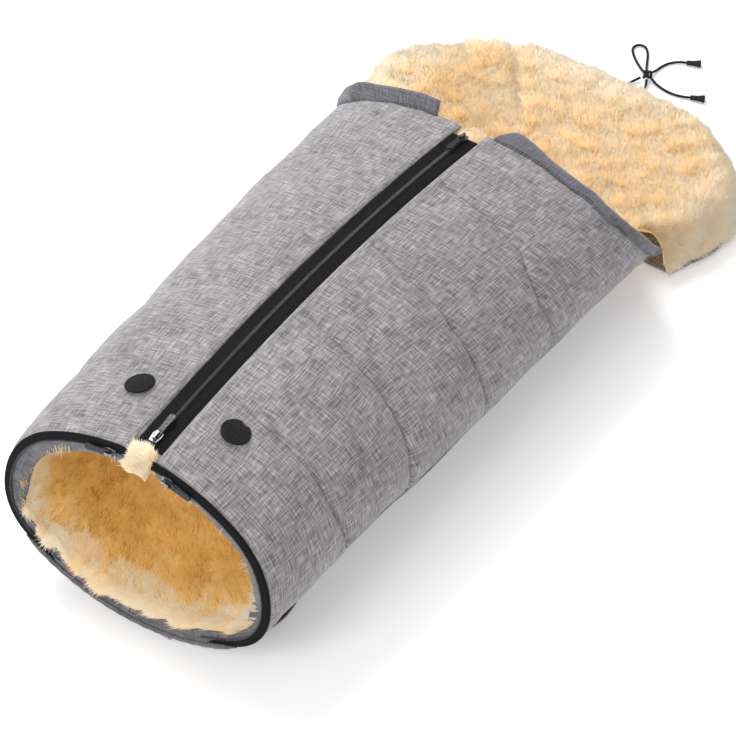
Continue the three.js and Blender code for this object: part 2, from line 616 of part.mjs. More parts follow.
const pierce = (solid, x) => solid.subtract(toSolid(eyeletHole(x)));
const hem = [-EYELET_X, EYELET_X].reduce(pierce, toSolid(sleeve(HEM_RADIUS, HEM_BORE)));
addMesh("hood_hem", toGeometry(hem), fabricDark);

// ---------- drawcord ----------
const tube = (points, radius, steps) => {
  const section = new THREE.Shape(spread(0, 315, 7).map(rad).map((t) => {
    return new THREE.Vector2(radius * Math.cos(t), radius * Math.sin(t));
  }));
  const stops = points.map((p) => new THREE.Vector3(...p));
  const extrudePath = new THREE.CatmullRomCurve3(stops, false, "centripetal");
  return new THREE.ExtrudeGeometry(section, { extrudePath, steps, bevelEnabled: false });
};
const cordRadius = CORD_DIAMETER / 2;
for (const [word, side] of SIDES) {
  const half = hemPath.filter((p) => side * p.x > EYELET_X + 1).map((p) => [p.x, p.y, p.z]);
  addMesh(`drawcord_in_hem_${word}`, tube(half, cordRadius, half.length * 2), cordBlack);
  const washer = [[CORD_DIAMETER / 2 + 0.4, 0], [EYELET_RADIUS, 0], [EYELET_RADIUS, EYELET_THICK],
    [CORD_DIAMETER / 2 + 0.4, EYELET_THICK], [CORD_DIAMETER / 2 + 0.4, 0]];
  const eyelet = new THREE.LatheGeometry(washer.map(([x, y]) => new THREE.Vector2(x, y)), 16);
  addMesh(`eyelet_${word}`, eyelet, metalDark).position.set(side * EYELET_X, LENGTH + GAP, HEM_RADIUS);
}
// The free ends lie on the floor: two leads to a bow knot, one loop and two tails.
const cordStart = LENGTH + 2 * GAP + EYELET_THICK;
const pastEdge = (route) => route.map(([x, y, z]) => [x, LENGTH + y, z]);
const KNOT = [4, LENGTH + 55, KNOT_RADIUS];
const LEAD_LEFT = pastEdge([
  [-13, cordStart - LENGTH, 4.6], [-13, 8, 4.3], [-12.4, 18, 2.4], [-10, 29, 1.7], [-5.5, 40, 2.6], [-0.6, 48, 4.6],
]);
const LEAD_RIGHT = pastEdge([
  [13, cordStart - LENGTH, 4.6], [13, 8, 4.3], [13.4, 18, 2.4], [13.2, 29, 1.7], [11.3, 40, 2.6], [7.8, 48.2, 4.6],
]);
const LOOP = pastEdge([
  [0.2, 61.2, 4.8], [-5, 70, 2.2], [-10.5, 81, 1.7], [-17, 93, 1.7], [-25, 101.5, 1.7], [-34, 101, 1.7],
  [-37, 92.5, 1.7], [-31, 83, 1.7], [-21.5, 74, 1.7], [-11, 65.5, 2.4], [-2.2, 58.8, 4.8],
]);
const TAIL_ONE = pastEdge([
  [5.6, 61.9, 4.8], [7, 71, 2.2], [9, 82, 1.7], [13.5, 92.5, 1.7], [22, 100.5, 2], [31.5, 104, 2.9],
]);
const TAIL_TWO = pastEdge([
  [10.8, 53.8, 4.8], [20, 50.5, 2.2], [32, 47.5, 1.7], [45, 46.8, 1.7], [57, 49, 2], [66.6, 52.2, 2.9],
]);
addMesh("cord_knot", new THREE.SphereGeometry(KNOT_RADIUS, 16, 12), cordBlack).position.set(...KNOT);
addMesh("cord_lead_left", tube(LEAD_LEFT, cordRadius, 10), cordBlack);
addMesh("cord_lead_right", tube(LEAD_RIGHT, cordRadius, 10), cordBlack);
addMesh("cord_loop", tube(LOOP, cordRadius, 26), cordBlack);
addMesh("cord_tail_one", tube(TAIL_ONE, cordRadius, 12), cordBlack);
addMesh("cord_tail_two", tube(TAIL_TWO, cordRadius, 12), cordBlack);
const cordEnd = (name, route) => {
  const [from, to] = route.slice(-2).map((p) => new THREE.Vector3(...p));
  const heading = to.clone().sub(from).setZ(0).normalize();
  const slope = (CORD_END_WIDE - CORD_END_NARROW) / CORD_END_LENGTH;
  const profile = [[0, 0], [CORD_END_NARROW, 0], [CORD_END_NARROW + 0.3, 4], [CORD_END_WIDE, CORD_END_LENGTH - 1],
    [CORD_END_WIDE - 0.8, CORD_END_LENGTH], [0, CORD_END_LENGTH]];
  const turned = new THREE.LatheGeometry(profile.map(([x, y]) => new THREE.Vector2(x, y)), 16);
  const bell = addMesh(name, turned, cordBlack);
  const axis = heading.clone().setZ(slope).normalize();
  bell.quaternion.setFromUnitVectors(new THREE.Vector3(0, 1, 0), axis);
  bell.position.copy(to.clone().addScaledVector(heading, GAP)).setZ(CORD_END_NARROW + 0.15);
};
cordEnd("cord_end_one", TAIL_ONE);
cordEnd("cord_end_two", TAIL_TWO);

// ---------- origin ----------
// The origin is the middle of the footprint, on the floor, with the free cord left out.
const foremost = hingePoint.y - HINGE_RADIUS;
const rearmost = LENGTH + GAP + EYELET_THICK;
muff.position.y = -(foremost + rearmost) / 2;

export default muff;
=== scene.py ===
# %% [markdown]
# # Sheepskin footmuff for a pushchair
# The muff lies on its back: a bowed tube of grey woven fabric lined with sheepskin,
# a zip down its front, a zip round its open foot end, a fabric band at each side of
# the neck, and a wool-covered hood with a drawcord. Everything is in metres, in the
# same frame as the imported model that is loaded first.

# %% Load the frame
import math
import bmesh
import bpy
import numpy as np
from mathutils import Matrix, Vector


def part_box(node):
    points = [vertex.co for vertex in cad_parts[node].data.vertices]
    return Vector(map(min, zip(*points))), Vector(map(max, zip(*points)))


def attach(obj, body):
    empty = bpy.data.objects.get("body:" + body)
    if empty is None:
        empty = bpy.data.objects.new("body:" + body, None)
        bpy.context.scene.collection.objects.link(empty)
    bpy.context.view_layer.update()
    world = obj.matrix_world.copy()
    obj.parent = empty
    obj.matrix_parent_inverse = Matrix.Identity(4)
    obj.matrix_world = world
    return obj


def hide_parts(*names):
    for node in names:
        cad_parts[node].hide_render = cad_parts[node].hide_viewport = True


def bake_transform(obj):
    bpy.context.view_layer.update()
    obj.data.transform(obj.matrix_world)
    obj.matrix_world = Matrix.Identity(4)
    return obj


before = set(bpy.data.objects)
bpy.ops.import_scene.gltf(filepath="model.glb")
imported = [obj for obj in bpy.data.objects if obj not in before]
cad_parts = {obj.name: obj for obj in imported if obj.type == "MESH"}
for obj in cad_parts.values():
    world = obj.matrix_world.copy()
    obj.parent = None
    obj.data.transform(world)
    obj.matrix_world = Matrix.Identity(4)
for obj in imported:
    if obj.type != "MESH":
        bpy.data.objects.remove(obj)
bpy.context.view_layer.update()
scene = bpy.context.scene

# %% [markdown]
# ## Camera
# The camera stands high beyond the foot end, on the muff's right, and looks down
# along it. A long lens from three metres keeps the tube's sides nearly parallel.
# The Standard view keeps a white studio floor white.

# %% Camera
AZIMUTH = math.radians(34.1)
ELEVATION = math.radians(46.05)
TARGET = Vector((0.0518, -0.1252, 0.100))
DISTANCE = 3.334
LENS = 156.9

towards = Vector((math.sin(AZIMUTH) * math.cos(ELEVATION),
                  -math.cos(AZIMUTH) * math.cos(ELEVATION),
                  math.sin(ELEVATION)))
camera = bpy.data.objects.new("camera", bpy.data.cameras.new("camera"))
scene.collection.objects.link(camera)
camera.data.lens = LENS
camera.data.sensor_width = 36
camera.location = TARGET + towards * DISTANCE
camera.rotation_euler = (-towards).to_track_quat("-Z", "Y").to_euler()
scene.camera = camera
scene.view_settings.view_transform = "Standard"
print("camera at", [round(x, 3) for x in camera.location])

# %% [markdown]
# ## Small helpers for meshes
# Most pieces start as a bmesh shape. `link_mesh` turns a bmesh into an object,
# `skin` lays a flat grid over a curved surface and keeps its cut size as a UV map
# in metres, so a weave has the same thread size on every piece.

# %% Mesh helpers
UPWARD = np.array([0, 0, 1.0])
FOOTWARD = np.array([0, -1.0, 0.2])


def link_mesh(name, bm):
    mesh = bpy.data.meshes.new(name)
    bm.to_mesh(mesh)
    bm.free()
    piece = bpy.data.objects.new(name, mesh)
    scene.collection.objects.link(piece)
    mesh.polygons.foreach_set("use_smooth", [True] * len(mesh.polygons))
    return piece


def points_of(mesh):
    flat = np.zeros(len(mesh.vertices) * 3)
    mesh.vertices.foreach_get("co", flat)
    return flat.reshape(-1, 3)


def move_points(mesh, points):
    mesh.vertices.foreach_set("co", np.asarray(points, float).ravel())
    mesh.update()


def normals_of(mesh):
    flat = np.zeros(len(mesh.vertices) * 3)
    mesh.vertex_normals.foreach_get("vector", flat)
    return flat.reshape(-1, 3)


def unit(vectors):
    """The same directions, each of length 1."""
    return vectors / np.linalg.norm(vectors, axis=1, keepdims=True)


def keep_values(mesh, name, values):
    layer = mesh.attributes.get(name) or mesh.attributes.new(name, "FLOAT", "POINT")
    layer.data.foreach_set("value", np.asarray(values, np.float32))


def values_of(mesh, name):
    found = np.zeros(len(mesh.vertices), np.float32)
    mesh.attributes[name].data.foreach_get("value", found)
    return found.astype(float)


def lay_uv(mesh, along, around):
    corners = np.zeros(len(mesh.loops), int)
    mesh.loops.foreach_get("vertex_index", corners)
    layer = mesh.uv_layers.get("UVMap") or mesh.uv_layers.new(name="UVMap")
    layer.data.foreach_set("uv", np.stack([along, around], 1)[corners].ravel())


def skin(name, rows, columns, place):
    """A grid of rows x columns that place(u, v) lays on a surface: points, along, around."""
    bm = bmesh.new()
    bmesh.ops.create_grid(bm, x_segments=rows, y_segments=columns, size=0.5)
    piece = link_mesh(name, bm)
    mesh = piece.data
    flat = points_of(mesh) + 0.5
    points, along, around = place(flat[:, 0], flat[:, 1])
    move_points(mesh, points)
    lay_uv(mesh, along, around)
    keep_values(mesh, "u", flat[:, 0])
    keep_values(mesh, "v", flat[:, 1])
    return piece


def small_shape(bm):
    """Points and triangles of a small shape that is copied many times."""
    bmesh.ops.triangulate(bm, faces=bm.faces)
    bm.verts.index_update()
    points = np.array([v.co for v in bm.verts])
    corners = np.array([[v.index for v in f.verts] for f in bm.faces])
    bm.free()
    return points, corners


def link_copies(name, points, corners):
    """One mesh of many copies: points by copy, vertex and axis, triangles of one copy."""
    copies, size = points.shape[:2]
    corners = (corners[None] + (np.arange(copies) * size)[:, None, None]).reshape(-1, 3)
    mesh = bpy.data.meshes.new(name)
    mesh.vertices.add(copies * size)
    mesh.loops.add(corners.size)
    mesh.polygons.add(len(corners))
    mesh.vertices.foreach_set("co", points.reshape(-1, 3).ravel())
    mesh.polygons.foreach_set("loop_start", np.arange(len(corners)) * 3)
    mesh.loops.foreach_set("vertex_index", corners.ravel())
    mesh.polygons.foreach_set("use_smooth", np.ones(len(corners), bool))
    mesh.update(calc_edges=True)
    piece = bpy.data.objects.new(name, mesh)
    scene.collection.objects.link(piece)
    return piece


def face_out(piece, outward):
    """Turns an open skin so that its normals agree with outward, one direction per point."""
    if (normals_of(piece.data) * outward).sum() < 0:
        piece.data.flip_normals()


def settle(piece):
    """Applies the piece's modifiers, so that later steps shape the finished mesh."""
    graph = bpy.context.evaluated_depsgraph_get()
    done = bpy.data.meshes.new_from_object(piece.evaluated_get(graph))
    piece.modifiers.clear()
    piece.data = done
    return done


def thicken(piece, thickness, offset=-1.0):
    wall = piece.modifiers.new("wall", "SOLIDIFY")
    wall.thickness = thickness
    wall.offset = offset
    wall.use_even_offset = False


def round_off(piece, levels=1):
    smooth = piece.modifiers.new("smooth", "SUBSURF")
    smooth.levels = levels
    smooth.render_levels = levels


def finish_piece(piece, body, slot, material, *nodes):
    piece.data.materials.clear()
    piece.data.materials.append(material)
    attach(piece, body)
    if nodes:
        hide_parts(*nodes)
    print(piece.name, len(piece.data.polygons), "faces, on", body)
    return piece


# %% [markdown]
# ## Soft noise
# Wrinkles, wool and worn fabric need smooth random bumps that come out the same
# each run. `cloud` is value noise on a lattice: a seeded table of random numbers,
# blended between neighbours. It works on whole arrays of points at once.

# %% Soft noise
NOISE_TABLE = np.random.default_rng(11).random(4096)


def cloud(points, size, seed=0):
    """Smooth noise from -1 to 1 whose bumps are about size metres wide."""
    scaled = np.asarray(points, float) / size
    cell = np.floor(scaled).astype(int)
    part = scaled - cell
    part = part * part * (3 - 2 * part)
    total = 0.0
    for corner in range(2 ** scaled.shape[1]):
        key = np.full(len(scaled), seed * 977)
        weight = np.ones(len(scaled))
        for axis in range(scaled.shape[1]):
            step = corner >> axis & 1
            key = key * 31 + (cell[:, axis] + step) * (7 + 12 * axis)
            key = (key ^ key >> 7) * 73 & 0xFFFFF
            weight = weight * np.where(step, part[:, axis], 1 - part[:, axis])
        total = total + weight * NOISE_TABLE[key % 4096]
    return total * 2 - 1


def ease(value, low, high):
    """0 below low, 1 above high, and smooth between."""
    t = np.clip((np.asarray(value, float) - low) / (high - low), 0, 1)
    return t * t * (3 - 2 * t)


def ridge(far, width):
    """1 where far is 0, and almost 0 two widths away from it."""
    return np.exp(-(far / width) ** 2)


def flat_cloud(first, second, size, seed):
    """The same noise over two values of each point."""
    return cloud(np.stack([first, second], 1), size, seed)


print("noise table:", len(NOISE_TABLE), "values")

# %% [markdown]
# ## Materials
# Cloth, wool, webbing and metal are all node materials. The woven fabric is a
# slub melange: thick and thin threads cross, so it shows short light and dark
# streaks both ways. Two stretched noises give the streaks and a fine one the
# thread bumps. They read the UV map, which is in metres.

# %% Material helpers
def node_material(name, roughness, sheen=0.0, metallic=0.0, specular=0.3):
    material = bpy.data.materials.new(name)
    material.use_nodes = True
    shader = material.node_tree.nodes["Principled BSDF"]
    shader.inputs["Roughness"].default_value = roughness
    shader.inputs["Sheen Weight"].default_value = sheen
    shader.inputs["Sheen Roughness"].default_value = 0.5
    shader.inputs["Metallic"].default_value = metallic
    shader.inputs["Specular IOR Level"].default_value = specular
    return material, shader


def add_node(material, kind, links=(), **values):
    """Adds a node, sets its values by socket or property name and joins its inputs."""
    tree = material.node_tree
    node = tree.nodes.new(kind)
    for key, value in values.items():
        socket = node.inputs.get(key.replace("_", " "))
        if socket is not None and not hasattr(type(node), key):
            socket.default_value = value
        else:
            setattr(node, key, value)
    for socket, source in links:
        tree.links.new(source, node.inputs[socket])
    return node


def streaks(material, source, scale, seed_shift):
    """Noise stretched by the mapping's scale, for threads of one direction."""
    mapping = add_node(material, "ShaderNodeMapping", [(0, source)])
    mapping.inputs["Scale"].default_value = scale
    mapping.inputs["Location"].default_value = seed_shift
    return add_node(material, "ShaderNodeTexNoise", [("Vector", mapping.outputs[0])],
                    Scale=1.0, Detail=2.0, Roughness=0.6)


def sum_of(material, first, second, first_share=0.5, second_share=0.5):
    a = add_node(material, "ShaderNodeMath", [(0, first)], operation="MULTIPLY")
    a.inputs[1].default_value = first_share
    b = add_node(material, "ShaderNodeMath", [(0, second)], operation="MULTIPLY")
    b.inputs[1].default_value = second_share
    both = add_node(material, "ShaderNodeMath", operation="ADD")
    material.node_tree.links.new(a.outputs[0], both.inputs[0])
    material.node_tree.links.new(b.outputs[0], both.inputs[1])
    return both.outputs[0]


def ramp(material, source, stops):
    node = add_node(material, "ShaderNodeValToRGB", [("Fac", source)])
    band = node.color_ramp
    while len(band.elements) < len(stops):
        band.elements.new(0.5)
    for element, (place, colour) in zip(band.elements, stops):
        element.position = place
        element.color = (*colour, 1)
    return node.outputs["Color"]


def bump(material, shader, source, strength, distance):
    node = add_node(material, "ShaderNodeBump", [("Height", source)])
    node.inputs["Strength"].default_value = strength
    node.inputs["Distance"].default_value = distance
    material.node_tree.links.new(node.outputs[0], shader.inputs["Normal"])


def colour_from(material, shader, output):
    material.node_tree.links.new(output, shader.inputs["Base Color"])


# %% [markdown]
# ## Woven fabric
# The grey cloth could be an image of a weave, but a picture tiles and blurs. Two
# crossed noises make threads that never repeat and keep one size on every piece.

# %% Woven fabric
def woven_fabric(name, dark, middle, light):
    material, shader = node_material(name, 0.88, sheen=0.25, specular=0.2)
    source = add_node(material, "ShaderNodeTexCoord").outputs["UV"]
    warp = streaks(material, source, (46, 620, 620), (3, 7, 1)).outputs[0]
    weft = streaks(material, source, (620, 46, 620), (11, 2, 5)).outputs[0]
    fine = streaks(material, source, (1300, 1300, 1300), (1, 1, 1)).outputs[0]
    patch = streaks(material, source, (14, 14, 14), (5, 9, 2)).outputs[0]
    thread = sum_of(material, warp, weft, 0.5, 0.5)
    tone = sum_of(material, thread, fine, 0.86, 0.14)
    tone = sum_of(material, tone, patch, 0.9, 0.1)
    stops = [(0.39, dark), (0.5, middle), (0.61, light)]
    colour_from(material, shader, ramp(material, tone, stops))
    bump(material, shader, sum_of(material, thread, fine, 0.6, 0.4), 0.55, 0.0006)
    return material


CLOTH = woven_fabric("woven_fabric", (0.105, 0.100, 0.104), (0.262, 0.248, 0.256),
                     (0.50, 0.478, 0.49))
# A darker copy of the woven fabric: painted shade on the collar bands, foot facings, hood hem and
# flap fold, which lie in shade.
SHADED_CLOTH = woven_fabric("dark_fabric", (0.075, 0.074, 0.085), (0.135, 0.133, 0.15),
                          (0.22, 0.218, 0.24))
print("fabrics:", CLOTH.name, SHADED_CLOTH.name)

# %% [markdown]
# ## Wool colour
# Sheepskin is cream at its tips and honey to amber at the roots, and it changes
# tone from lock to lock. Each wool mesh carries two values per point: `tip`,
# from root to tip, and `tone`, from amber to cream. The material mixes colours
# from those two.

# %% Wool material
def wool_material(name, root, body, tip, painted_glow):
    """The emission strength is painted light: the wool glows in its own colour, standing in for
    light that scatters from fibre to fibre deep in the pile.
    """
    material, shader = node_material(name, 0.9, sheen=0.3, specular=0.08)
    height = add_node(material, "ShaderNodeAttribute", attribute_name="tip").outputs["Fac"]
    tone = add_node(material, "ShaderNodeAttribute", attribute_name="tone").outputs["Fac"]
    place = add_node(material, "ShaderNodeTexCoord").outputs["Object"]
    fine = streaks(material, place, (380, 380, 380), (2, 3, 4)).outputs[0]
    both = sum_of(material, height, tone, 0.26, 0.62)
    level = sum_of(material, both, fine, 1.0, 0.12)
    colour = ramp(material, level, [(0.16, root), (0.50, body), (0.86, tip)])
    colour_from(material, shader, colour)
    # painted light: the wool's colour also drives its glow
    material.node_tree.links.new(colour, shader.inputs["Emission Color"])
    shader.inputs["Emission Strength"].default_value = painted_glow
    bump(material, shader, fine, 0.35, 0.001)
    return material


HONEY, CREAM = (0.98, 0.64, 0.30), (0.99, 0.90, 0.72)
# Both wools glow in their own colour, which is painted light.
WOOL = wool_material("sheepskin_wool", (0.84, 0.42, 0.11), HONEY, CREAM, 0.20)
# A darker, more amber copy of the wool for the inside of the tube: painted shade, with a stronger
# painted glow.
SHADED_INSIDE_WOOL = wool_material("sheepskin_wool_inside_shaded", (0.55, 0.27, 0.03), (0.95, 0.57, 0.17),
                          CREAM, 0.27)

# %% [markdown]
# ## Zips, metal, cord and dots
# Zip tape is ribbed webbing, so it gets two stretched noises of its own. Coils,
# metal, dots, cord and thread differ in colour, shine and grain only, so one
# speckled material with different values makes them all.

# %% Zip, metal, cord and dot materials
def ribbed_tape(name):
    material, shader = node_material(name, 0.7, specular=0.07)
    source = add_node(material, "ShaderNodeTexCoord").outputs["UV"]
    rib = streaks(material, source, (1500, 380, 1), (0, 0, 0)).outputs[0]
    cross = streaks(material, source, (90, 1500, 1), (4, 4, 4)).outputs[0]
    level = sum_of(material, rib, cross)
    stops = [(0.3, (0.003, 0.003, 0.0035)), (0.7, (0.017, 0.0165, 0.018))]
    colour_from(material, shader, ramp(material, level, stops))
    bump(material, shader, level, 0.6, 0.0004)
    return material


def speckled(name, dark, light, scale, roughness, metallic=0.0, strength=0.2,
             distance=0.0003, specular=0.4, sheen=0.0):
    material, shader = node_material(name, roughness, sheen, metallic, specular)
    source = add_node(material, "ShaderNodeTexCoord").outputs["Object"]
    grain = streaks(material, source, (scale, scale, scale), (1, 2, 3)).outputs[0]
    colour_from(material, shader, ramp(material, grain, [(0.35, dark), (0.68, light)]))
    bump(material, shader, grain, strength, distance)
    return material


TAPE = ribbed_tape("zip_tape")
COIL = speckled("zip_coil", (0.03, 0.03, 0.032), (0.10, 0.10, 0.105), 500, 0.32,
                specular=0.6)
METAL = speckled("zip_metal", (0.16, 0.16, 0.165), (0.38, 0.38, 0.40), 240, 0.30,
                 metallic=1.0)
BLACK_METAL = speckled("black_metal", (0.02, 0.02, 0.022), (0.06, 0.06, 0.065), 300, 0.35,
                       metallic=0.6, specular=0.5)
DOT = speckled("fastening_dot", (0.008, 0.008, 0.009), (0.03, 0.03, 0.032), 900, 0.9,
               strength=0.8, distance=0.0008, specular=0.06, sheen=0.05)
CORD = speckled("drawcord", (0.004, 0.004, 0.005), (0.022, 0.022, 0.024), 900, 0.7,
                strength=0.4, specular=0.3)
THREAD = speckled("sewing_thread", (0.16, 0.16, 0.17), (0.3, 0.3, 0.31), 900, 0.7)
print("materials:", len(bpy.data.materials))

# %% [markdown]
# ## Drawcord
# The drawcord runs inside the hood's hem, comes out of two eyelets at the far
# edge and is tied: one knot, one loop and two tails with moulded ends. All of it
# lies on the floor. A cord is a tube along a smooth path. Small waves on its
# radius stand for the braid.

# %% Cord paths
FOOT_Y = -0.47554            # y of the foot rim at the floor
CORD_RADIUS = 0.0016
BRAID_PITCH = 0.0042
BRAID_DEPTH = 0.07           # as a share of the radius
CORD_STEP, CORD_SIDES = 0.0009, 12


def from_rim(points):
    """Millimetres measured from the foot rim to metres in the frame."""
    return [Vector((x * 0.001, y * 0.001 + FOOT_Y, z * 0.001)) for x, y, z in points]


KNOT_RADIUS = 0.0065
KNOT = (4, 1010, 1000 * KNOT_RADIUS)
LEAD_LEFT = [(-13, 956.8, 4.6), (-13, 963, 4.3), (-12.4, 973, 2.4), (-10, 984, 1.7),
             (-5.5, 995, 2.6), (-0.6, 1003, 4.6)]
LEAD_RIGHT = [(13, 956.8, 4.6), (13, 963, 4.3), (13.4, 973, 2.4), (13.2, 984, 1.7),
              (11.3, 995, 2.6), (7.8, 1003.2, 4.6)]
LOOP = [(0.2, 1016.2, 4.8), (-5, 1025, 2.2), (-10.5, 1036, 1.7), (-17, 1048, 1.7),
        (-25, 1056.5, 1.7), (-34, 1056, 1.7), (-37, 1047.5, 1.7), (-31, 1038, 1.7),
        (-21.5, 1029, 1.7), (-11, 1020.5, 2.4), (-2.2, 1013.8, 4.8)]
TAIL_ONE = [(5.6, 1016.9, 4.8), (7, 1026, 2.2), (9, 1037, 1.7), (13.5, 1047.5, 1.7),
            (22, 1055.5, 2), (31.5, 1059, 2.9)]
TAIL_TWO = [(10.8, 1008.8, 4.8), (20, 1005.5, 2.2), (32, 1002.5, 1.7), (45, 1001.8, 1.7),
            (57, 1004, 2), (66.6, 1007.2, 2.9)]


def distances(path):
    """Distance along a path at each of its points."""
    return np.concatenate([[0], np.cumsum(np.linalg.norm(np.diff(path, axis=0), axis=1))])


def at_marks(marks, far, values):
    return np.stack([np.interp(marks, far, values[:, k]) for k in range(3)], 1)


def smooth_path(points, step):
    """A Catmull-Rom curve through the points, in even steps."""
    p = np.array([points[0], *points, points[-1]], float)
    dense = []
    for i in range(1, len(p) - 2):
        t = np.linspace(0, 1, 24, endpoint=False)[:, None]
        a, b, c, d = p[i - 1], p[i], p[i + 1], p[i + 2]
        dense.append(0.5 * (2 * b + (c - a) * t + (2 * a - 5 * b + 4 * c - d) * t ** 2
                            + (3 * b - a - 3 * c + d) * t ** 3))
    dense = np.vstack([*dense, p[-1:]])
    far = distances(dense)
    count = max(int(far[-1] / step), 8)
    return at_marks(np.linspace(0, far[-1], count + 1), far, dense), far[-1]


# %% [markdown]
# ## Tubes along a path
# Cords, the hem and the flap's fold are all tubes. A curve with a bevel would do,
# but a cone whose rings are laid along the path lets the radius change with the
# distance and the turn, which gives a braid, gathers and tapered ends.

# %% Tubes along a path
def sweep(name, path, radius, sides, shape):
    """A closed tube along a path. shape(far, turn) scales its radius; far in metres."""
    path = np.asarray(path, float)
    count = len(path)
    bm = bmesh.new()
    bmesh.ops.create_cone(bm, cap_ends=True, segments=sides, radius1=1, radius2=1, depth=1)
    walls = [e for e in bm.edges if abs(e.verts[0].co.z - e.verts[1].co.z) > 0.5]
    bmesh.ops.subdivide_edges(bm, edges=walls, cuts=count - 2)
    piece = link_mesh(name, bm)
    flat = points_of(piece.data)
    row = np.rint((flat[:, 2] + 0.5) * (count - 1)).astype(int)
    turn = np.arctan2(flat[:, 1], flat[:, 0])
    ahead = unit(np.gradient(path, axis=0))
    side = np.zeros_like(path)
    start = np.cross(ahead[0], (0, 0, 1))
    if np.linalg.norm(start) < 0.1:
        start = np.cross(ahead[0], (1, 0, 0))
    side[0] = start / np.linalg.norm(start)
    for i in range(1, count):
        across = side[i - 1] - ahead[i] * np.dot(side[i - 1], ahead[i])
        side[i] = across / np.linalg.norm(across)
    up = np.cross(side, ahead)
    far = distances(path)
    size = radius * shape(far[row], turn)
    points = path[row] + side[row] * (np.cos(turn) * size)[:, None]
    points = points + up[row] * (np.sin(turn) * size)[:, None]
    move_points(piece.data, points)
    bm = bmesh.new()
    bm.from_mesh(piece.data)
    bmesh.ops.recalc_face_normals(bm, faces=bm.faces)
    bm.to_mesh(piece.data)
    bm.free()
    lay_uv(piece.data, far[row], turn * radius)
    return piece


def braid(far, turn):
    wave = np.cos(3 * turn + far * 2 * math.pi / BRAID_PITCH)
    cross = np.cos(3 * turn - far * 2 * math.pi / BRAID_PITCH)
    return 1 - BRAID_DEPTH + BRAID_DEPTH * np.maximum(wave, cross)


def lay_cord(name, points, node):
    path, length = smooth_path(from_rim(points), CORD_STEP)
    piece = sweep(name, path, CORD_RADIUS, CORD_SIDES, braid)
    finish_piece(piece, "hood", "drawcord", CORD, node)
    print(name, "is", round(length, 4), "m long")
    return piece, path, length


print("cord:", round(2000 * CORD_RADIUS, 1), "mm thick")

# %% [markdown]
# ## Knot and moulded ends
# The knot is the same cord on a small trefoil path. A moulded end is round, so it
# is an outline spun about its axis.

# %% Knot and moulded ends
def spun(name, outline, centre, axis, sides=20):
    """Spins an outline of (radius, far) about axis through centre; far runs along axis."""
    bm = bmesh.new()
    verts = [bm.verts.new((r, 0, far)) for r, far in outline]
    edges = [bm.edges.new(pair) for pair in zip(verts, verts[1:])]
    bmesh.ops.spin(bm, geom=verts + edges, cent=(0, 0, 0), axis=(0, 0, 1), dvec=(0, 0, 0),
                   angle=2 * math.pi, steps=sides, use_merge=True, use_duplicate=False)
    bmesh.ops.remove_doubles(bm, verts=bm.verts, dist=1e-6)
    bmesh.ops.recalc_face_normals(bm, faces=bm.faces)
    turn = Vector(axis).to_track_quat("Z", "Y").to_matrix().to_4x4()
    bmesh.ops.transform(bm, matrix=turn, verts=bm.verts)
    bmesh.ops.translate(bm, vec=Vector(centre), verts=bm.verts)
    return link_mesh(name, bm)


def cord_end(name, start, ahead, node):
    outline = [(0, 0), (0.0027, 0), (0.0030, 0.0008), (0.0029, 0.004), (0.0031, 0.0046),
               (0.0031, 0.006), (0.0030, 0.0066), (0.0036, 0.011), (0.0045, 0.0155),
               (0.0046, 0.0165), (0.0040, 0.017), (0, 0.0166)]
    piece = spun(name, outline, start, ahead)
    return finish_piece(piece, "hood", "drawcord", CORD, node)


def knot(name, centre, radius, node):
    """An overhand knot pulled tight: a trefoil of cord, flattened to the floor."""
    t = np.linspace(0, 2 * math.pi, 160, endpoint=False)
    x = np.sin(t) + 2 * np.sin(2 * t)
    y = np.cos(t) - 2 * np.cos(2 * t)
    z = -np.sin(3 * t)
    loop = np.stack([x * 0.36, y * 0.36, z * 0.52], 1) * (radius - CORD_RADIUS)
    path = loop + np.array(centre)
    path = np.vstack([path, path[:3]])
    piece = sweep(name, path, CORD_RADIUS * 1.04, CORD_SIDES, braid)
    return finish_piece(piece, "hood", "drawcord", CORD, node)


knot_piece = knot("cord_knot_tied", from_rim([KNOT])[0], KNOT_RADIUS, "cord_knot")
ends = []
for label, tail in (("one", TAIL_ONE), ("two", TAIL_TWO)):
    before, last = from_rim(tail)[-2:]
    away = (last - before).normalized()
    away.z = 0.1
    start = last - away * 0.001
    ends.append(cord_end(f"cord_end_moulded_{label}", start, away, f"cord_end_{label}"))

# %% Lay the cords and print their lengths
for label, route, far_end, fitting in (
        ("lead_left", LEAD_LEFT, "knot", knot_piece),
        ("lead_right", LEAD_RIGHT, "knot", knot_piece),
        ("loop", LOOP, "knot", knot_piece), ("tail_one", TAIL_ONE, "fitting", ends[0]),
        ("tail_two", TAIL_TWO, "fitting", ends[1])):
    piece, path, length = lay_cord(f"drawcord_{label}", route, f"cord_{label}")

# %% [markdown]
# ## The tube's surface
# Every panel, zip and lining follows one surface: sections that lean more and more
# towards the foot, each with a flat-ish top and bottom arc and rounder sides. A
# place on it is a share of the way from foot to neck, an angle from the top
# (positive to the right) and a depth below the outside.

# %% The tube's sizes
FOOT_HALF, NECK_HALF = 0.164, 0.197
FOOT_HEIGHT, NECK_HEIGHT = 0.217, 0.199
FOOT_LEAN, NECK_TOP, NECK_FLOOR = 0.039, 0.620, 0.745
CROWN = 0.022                # how far the zip line bows above its chord
WIDEST = 0.44                # height of the widest point, as a share of the section
ARC_HALF = 30                # degrees to each side of the section's top and bottom arcs
RAISE, REACH, RAMP = 0.0128, 0.213, 0.050   # the back lies over the folded foot flap
SIDE_SEAM = 112              # degrees from the top to the side seam
ZIP_HALF = 0.015             # centre of the front zip to the fabric's edge
SIDES = ((1, "right"), (-1, "left"))

